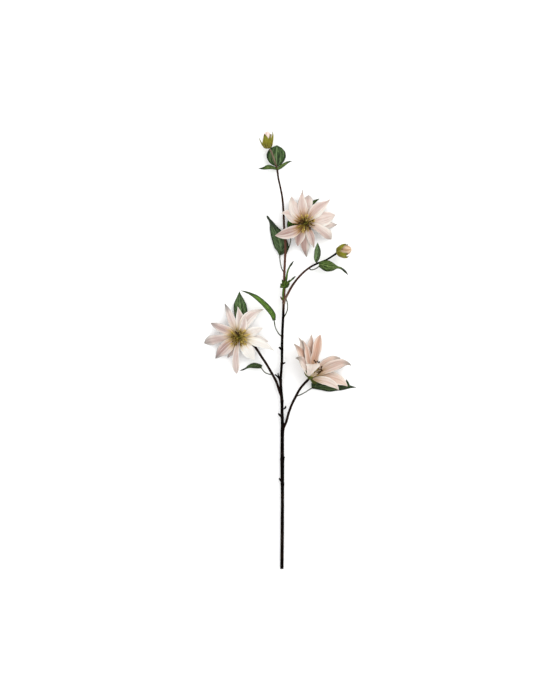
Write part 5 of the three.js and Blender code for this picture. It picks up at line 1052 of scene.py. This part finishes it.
def stamen_tuft(name, count, reach, rise, spread, rng_seed, light=90.0, extra=(), lift=0.0):
    """Stamens in loose clumps: dark at their feet, golden towards the side named by light (degrees round the bloom)."""
    (cx, cy, cz), axis = BLOOMS[name]
    O = plan(cx, cy, cz)
    n, right, front = axes_of(axis)
    rng = np.random.default_rng(rng_seed)
    s = Shape()
    dome = [[0.3, 0], [0.3, 3.5], [1.6, 3.7], [3.0, 3.0], [4.2, 1.7], [4.7, 0]]
    p, f, h, a = lathe(dome, O, n, 24, lambda h, w, r: r * (1 + 0.06 * np.cos(7 * w + h)), 3)
    s.add(p, f, 3, seed=1.0, tone=0.4, along=0.4)
    golden = math.pi * (3 - math.sqrt(5))
    clumps = rng.normal(0, 0.28, 11)
    for i in range(count):
        k = (i + 0.5) / count               # 0 inner to 1 outer
        phi = i * golden + rng.normal(0, 0.12)
        # drawn towards the nearest of eleven clumps, more so on the outside
        slot = 2 * math.pi / 11
        j = round(phi / slot)
        phi += (j * slot - phi) * 0.55 * k
        clump = clumps[j % 11]
        out = right * math.cos(phi) + front * math.sin(phi)
        r0, h0 = 1.0 + 2.7 * math.sqrt(k), 3.6 - 2.2 * k
        long = rng.normal(0, 0.10) + 0.30 * clump + (0.16 if rng.random() < 0.18 else 0.0)
        rt = reach * (0.26 + 0.74 * k ** 0.8) * (1 + long * k)
        ht = rise * (1.0 - 0.50 * k ** 1.4) * (1 + rng.normal(0, 0.05))
        side = np.cross(n, out)
        bend = rng.normal(0, 0.9)
        tone = float(np.clip(0.55 + 0.28 * math.cos(phi - math.radians(light)) * k + 0.6 * clump + rng.normal(0, 0.24) - 0.26 * (1 - k), 0.0, 1.0))
        A = O + out * r0 + n * h0
        D = O + out * rt + n * ht + side * bend
        B = A + n * (ht - h0) * 0.62 + out * (rt - r0) * (0.05 + spread * 0.1)
        Cc = D - out * (rt - r0) * 0.34 - n * (ht - h0) * (0.18 - 0.12 * k)
        q = np.linspace(0, 1, 9)[:, None]
        line = (1 - q) ** 3 * A + 3 * (1 - q) ** 2 * q * B + 3 * (1 - q) * q * q * Cc + q**3 * D
        thread(s, line, np.linspace(0.52, 0.34, 9), 6, 0, phi, 0.6, tone + lift)
        end = unit(line[-1] - line[-2])
        size = 1.0 + rng.normal(0, 0.1)
        a_len = (2.8 + 1.6 * k) * size
        q = np.linspace(0, 1, 7)
        body = line[-1] + end * (q[:, None] - 0.12) * a_len + n * 0.35 * np.sin(q * np.pi)[:, None]
        fat = 0.28 + 0.62 * np.sin(np.pi * np.clip(q * 0.94 + 0.03, 0, 1)) ** 0.6
        thread(s, body, fat * size, 8, 2 if tone < 0.34 else 1, phi, 0.75, tone)
    # styles in the middle, leaning together
    for i in range(30):
        phi = i * golden * 1.3
        out = right * math.cos(phi) + front * math.sin(phi)
        k = math.sqrt((i + 0.5) / 30)
        A = O + out * 2.2 * k + n * 3.6
        D = O + out * (0.8 + reach * 0.34 * k) + n * (rise * 0.90 - 2.4 * k)
        q = np.linspace(0, 1, 7)[:, None]
        line = A * (1 - q) + D * q - out * 0.9 * np.sin(q * np.pi)
        thread(s, line, np.array([0.66, 0.66, 0.62, 0.6, 0.58, 0.5, 0.24]), 6, 3, phi, 0.9, 0.42 + 0.36 * (i % 3 == 0) + 0.2 * math.cos(phi - math.radians(light)) * k)
    for (x, y, z), bend in extra:
        A = O + n * 2.0
        D = plan(x, y, z)
        mid = (A + D) / 2 + n * bend
        q = np.linspace(0, 1, 9)[:, None]
        line = (1 - q) ** 2 * A + 2 * (1 - q) * q * mid + q * q * D
        thread(s, line, np.linspace(0.5, 0.34, 9), 6, 0, x, 0.6, 0.5 + lift)
        end = unit(line[-1] - line[-2])
        q = np.linspace(0, 1, 7)
        body = line[-1] + end * (q[:, None] - 0.3) * 4.2
        fat = 0.42 + 1.22 * np.sin(np.pi * np.clip(q * 0.94 + 0.03, 0, 1)) ** 0.6
        thread(s, body, fat, 8, 2, x, 0.8, 0.1)
    return s.make("spray_" + name + "_stamens", [FILAMENT_PALE if name == "right_flower" else FILAMENT, ANTHER, ANTHER_DARK, PISTIL])


made["upper_flower_stamens"] = stamen_tuft("upper_flower", 100, 13.6, 15.0, 1.0, 5, 50.0)
made["left_flower_stamens"] = stamen_tuft("left_flower", 108, 13.8, 14.8, 1.0, 6, 130.0)
made["right_flower_stamens"] = stamen_tuft("right_flower", 44, 7.2, 21.0, 0.4, 7, 200.0, (
    ([314.3, 361.0, 46.0], 3.0), ([315.4, 362.4, 45.0], 3.0), ([317.2, 362.0, 42.0], 3.0), ([318.8, 362.6, 40.0], 3.0),
    ([321.2, 367.4, 37.0], 3.0), ([320.8, 369.4, 36.0], 3.0), ([321.4, 370.8, 34.0], 3.0), ([320.0, 371.8, 33.0], 2.0), ([319.0, 372.6, 32.0], 2.0),
), 0.55)

# ---------------------------------------------------------------- pieces: leaves
LEAF_STYLE = {   # material, petiole material, vein pairs, wave, rows along, rows across, painted shade on one half, dark tip
    "round_leaf": (LEAF_DARK, PETIOLE, 0, 0.7, 64, 31, 0.0, 0.0), "top_leaf_left": (LEAF_MID, PETIOLE_GREEN, 6, 0.5, 54, 17, 0.0, 0.8),
    "top_leaf_right": (LEAF_MID, PETIOLE_GREEN, 6, 0.5, 54, 17, 0.2, 0.7), "upper_left_leaf": (LEAF_DEEP, PETIOLE, 7, 0.9, 84, 31, 0.40, 0.8),
    "upper_hidden_leaf": (LEAF_BRIGHT, PETIOLE, 7, 0.8, 72, 27, 0.0, 0.5), "branch_leaf_small": (LEAF_DARK, PETIOLE, 5, 0.4, 50, 19, 0.7, 0.0),
    "branch_leaf_large": (LEAF_MID, PETIOLE, 6, 0.8, 84, 31, 0.0, 0.9), "long_leaf": (LEAF_BRIGHT, PETIOLE, 9, 0.6, 92, 21, 0.15, 0.7),
    "left_hidden_leaf": (LEAF_DARK, PETIOLE, 6, 1.0, 72, 29, 0.15, 0.2), "left_small_leaf": (LEAF_SHADE, PETIOLE, 6, 0.7, 60, 19, 0.0, 0.9),
    "right_leaf": (LEAF_SHADE, PETIOLE, 8, 0.9, 92, 29, 0.0, 0.4),
}
for j, (name, petiole, blade, cup, fold, roll) in enumerate(LEAVES):
    mat, stalk_mat, pairs, wave, nu, nv, half_shade, smoke = LEAF_STYLE[name]
    s = Shape()
    add_tube(s, flare(plan_rows(petiole), 0.35, 2.0), 12, 12 + len(petiole) * 6, 1, 40.0 + j, 0.5, 0.8, bark_radius(40.0 + j, 2, 0.04, 0.04))
    add_leaf_blade(s, blade, cup, fold, roll, nu, nv, 0, 0.6, 50.0 + j * 1.7, pairs, wave, half_shade=half_shade, smoke=smoke)
    if name == "right_leaf":
        add_leaf_blade(s, RIGHT_LEAF_LOBE, 0.1, 0.1, 0, 26, 13, 0, 0.5, 61.0, 0, 0.3)
    made[name] = s.make("spray_" + name, [mat, stalk_mat])

s = Shape()
add_tube(s, plan_rows(SHOOT_SHEATH), 16, 40, 1, 70.0, 0.5, 0.8, bark_radius(70.0, 4, 0.08, 0.06))
for j, rows in enumerate(SHOOT_LEAVES):
    add_leaf_blade(s, rows, 0.16, 0.26, 0, 48, 17, 0, 0.6, 71.0 + j, 5, 0.4, half_shade=0.2, smoke=(0.9, 0.8, 0.3)[j])
for j, rows in enumerate(SHOOT_SCALES):
    add_leaf_blade(s, rows, 0.3, 0.3, 0, 26, 13, 2, 0.5, 75.0 + j * 1.3, 3, 0.5, half_shade=0.5, smoke=0.5)
made["young_shoot"] = s.make("spray_young_shoot", [LEAF_BRIGHT, PETIOLE_GREEN, LEAF_SHOOT])

# ---------------------------------------------------------------- pieces: buds
for name, (place, axis, girth, length) in BUDS.items():
    O = plan(*place)
    n = unit(axis)
    right = unit(np.cross(n, [0.0, 0.0, 1.0]))
    front = np.cross(right, n)
    core = [[h * length, r * girth] for h, r in BUD_CORE]
    top = core[-1][0]

    def folded(h, w, r, top=top, name=name):
        """Five petals wound over one another, each with a lifted edge."""
        k = np.clip((h - 3.0) / (top - 3.0), 0, 1)
        turn = (w / (2 * np.pi) * 5 + 1.1 * k + (0.3 if name == "top_bud" else 0.62)) % 1.0
        step = 0.085 * (1 - turn) ** 0.7 * np.exp(-((1 - turn) / 4.0)) - 0.035
        lip = 0.03 * np.exp(-((turn / 0.05) ** 2))
        groove = -0.03 * np.exp(-(((turn - 0.55) / 0.03) ** 2))
        return r * (1 + (step + lip + groove) * np.sin(np.pi * np.clip(k * 0.9 + 0.1, 0, 1)))

    p, f, h, a = lathe(core, O, n, 110, folded, 7)
    s = Shape()
    turn = (a / (2 * np.pi) * 5 + 1.1 * np.clip((h - 3.0) / (top - 3.0), 0, 1) + (0.3 if name == "top_bud" else 0.62)) % 1.0
    # the bud petals also get painted shade on their tips and edges and on one half
    s.add(p, f, 0, along=np.clip(0.22 + 0.74 * (h - 3.0) / (top - 3.0), 0, 1), across=turn * 2 - 1, side=1.0, seed=3.3 if name == "top_bud" else 6.1,
          tint=0.34 if name == "top_bud" else 0.90, ash=0.3, stain=0.5, half=0.5 if name == "top_bud" else 0.9)
    made[name + "_petals"] = s.make("spray_" + name + "_petals", [BUD_PETAL if name == "top_bud" else BUD_PETAL_WARM])

    s = Shape()
    cup = [[h * length, r * girth] for h, r in BUD_CUP]
    p, f, h, a = lathe(cup, O, n, 60, lambda h, w, r: r * (1 + 0.03 * np.cos(5 * w + 0.6) * min(1.0, max(0.0, (h + 1.6) / 6)) + 0.012 * np.cos(15 * w)), 4)
    s.add(p, f, 0, along=np.clip((h + 1.6) / 22.0, 0, 1), across=np.sin(a * 5), side=1.0, seed=2.0)
    for j, (bud, turn, rows, width) in enumerate(SEPALS):
        if bud != name:
            continue
        rows_mm = []
        steps = len(rows) - 1
        for i, row in enumerate(rows):
            r, h, q = row[0], row[1], np.radians(turn + (row[2] if len(row) > 2 else 0.0))
            out = right * np.cos(q) + front * np.sin(q)
            w = width * (1 - (i / steps) ** 2.2) + 0.12
            rows_mm.append(list(O + out * (r - (0.8 if i == 0 else 0)) + n * (h - (1.2 if i == 0 else 0))) + [w, w])
        dense = Path(rows_mm)(np.linspace(0, 1, 12))
        uu = np.linspace(0, 1, 12)
        dense[:, 3] = dense[:, 4] = width * (1 - uu**2.2) * (0.86 + 0.14 * np.sin(np.pi * np.clip(uu * 1.6, 0, 1))) + 0.12
        q = np.radians(turn)
        add_leaf_blade(s, dense, 0.42, 0.0, 0, 40, 19, 0, 0.9, 80.0 + j * 1.3, 0, 0.5, up=-(right * np.cos(q) + front * np.sin(q)), in_mm=True)
    made[name + "_calyx"] = s.make("spray_" + name + "_calyx", [CALYX])

# ---------------------------------------------------------------- every piece stands for its node
for node, obj in made.items():
    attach(obj, "root")
    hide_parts(node)

# ---------------------------------------------------------------- floor, light, camera
floor_mesh = bpy.data.meshes.new("floor")
floor_mesh.from_pydata([(-6, -6, 0), (6, -6, 0), (6, 6, 0), (-6, 6, 0)], [], [(0, 1, 2, 3)])
floor = bpy.data.objects.new("floor", floor_mesh)
floor.location.z = -0.0002
bpy.context.scene.collection.objects.link(floor)
k = Look("floor_paint", 0.9)
k.b.inputs["Specular IOR Level"].default_value = 0.1
k.colour(k.ramp(k.noise(k.place(), 3.0, 2.0, 0.5), [(0.3, (0.93, 0.93, 0.928)), (0.7, (0.95, 0.95, 0.948))]))
floor_mesh.materials.append(k.mat)

world = bpy.context.scene.world or bpy.data.worlds.new("studio")
bpy.context.scene.world = world
world.use_nodes = True
world.node_tree.nodes["Background"].inputs["Color"].default_value = (1.0, 1.0, 1.0, 1.0)
world.node_tree.nodes["Background"].inputs["Strength"].default_value = 1.18


def lamp(name, place, aim, size, watts, colour=(1.0, 1.0, 1.0)):
    data = bpy.data.lights.new(name, "AREA")
    data.shape = "DISK"
    data.size, data.energy, data.color = size, watts, colour
    obj = bpy.data.objects.new(name, data)
    obj.location = place
    obj.rotation_mode = "QUATERNION"
    obj.rotation_quaternion = (Vector(aim) - Vector(place)).to_track_quat("-Z", "Y")
    bpy.context.scene.collection.objects.link(obj)
    return obj


lamp("key", (1.7, 1.6, 3.0), (0, 0, 0), 3.2, 54.0, (1.0, 0.99, 0.975))
lamp("fill", (-0.6, -0.4, 3.4), (0, 0, 0), 2.8, 12.0, (0.98, 0.99, 1.0))

cam_data = bpy.data.cameras.new("camera")
cam_data.lens = 36.0 * EYE_HEIGHT / (700 * UNIT)
cam_data.sensor_width = 36.0
cam_data.clip_start, cam_data.clip_end = 0.05, 50.0
cam = bpy.data.objects.new("camera", cam_data)
cam.location = (-OFFSET[0] * 0.001, -OFFSET[1] * 0.001, (EYE_HEIGHT - OFFSET[2]) * 0.001)
bpy.context.scene.collection.objects.link(cam)
bpy.context.scene.camera = cam

bpy.context.scene.view_settings.view_transform = "Standard"
bpy.context.scene.view_settings.look = "None"
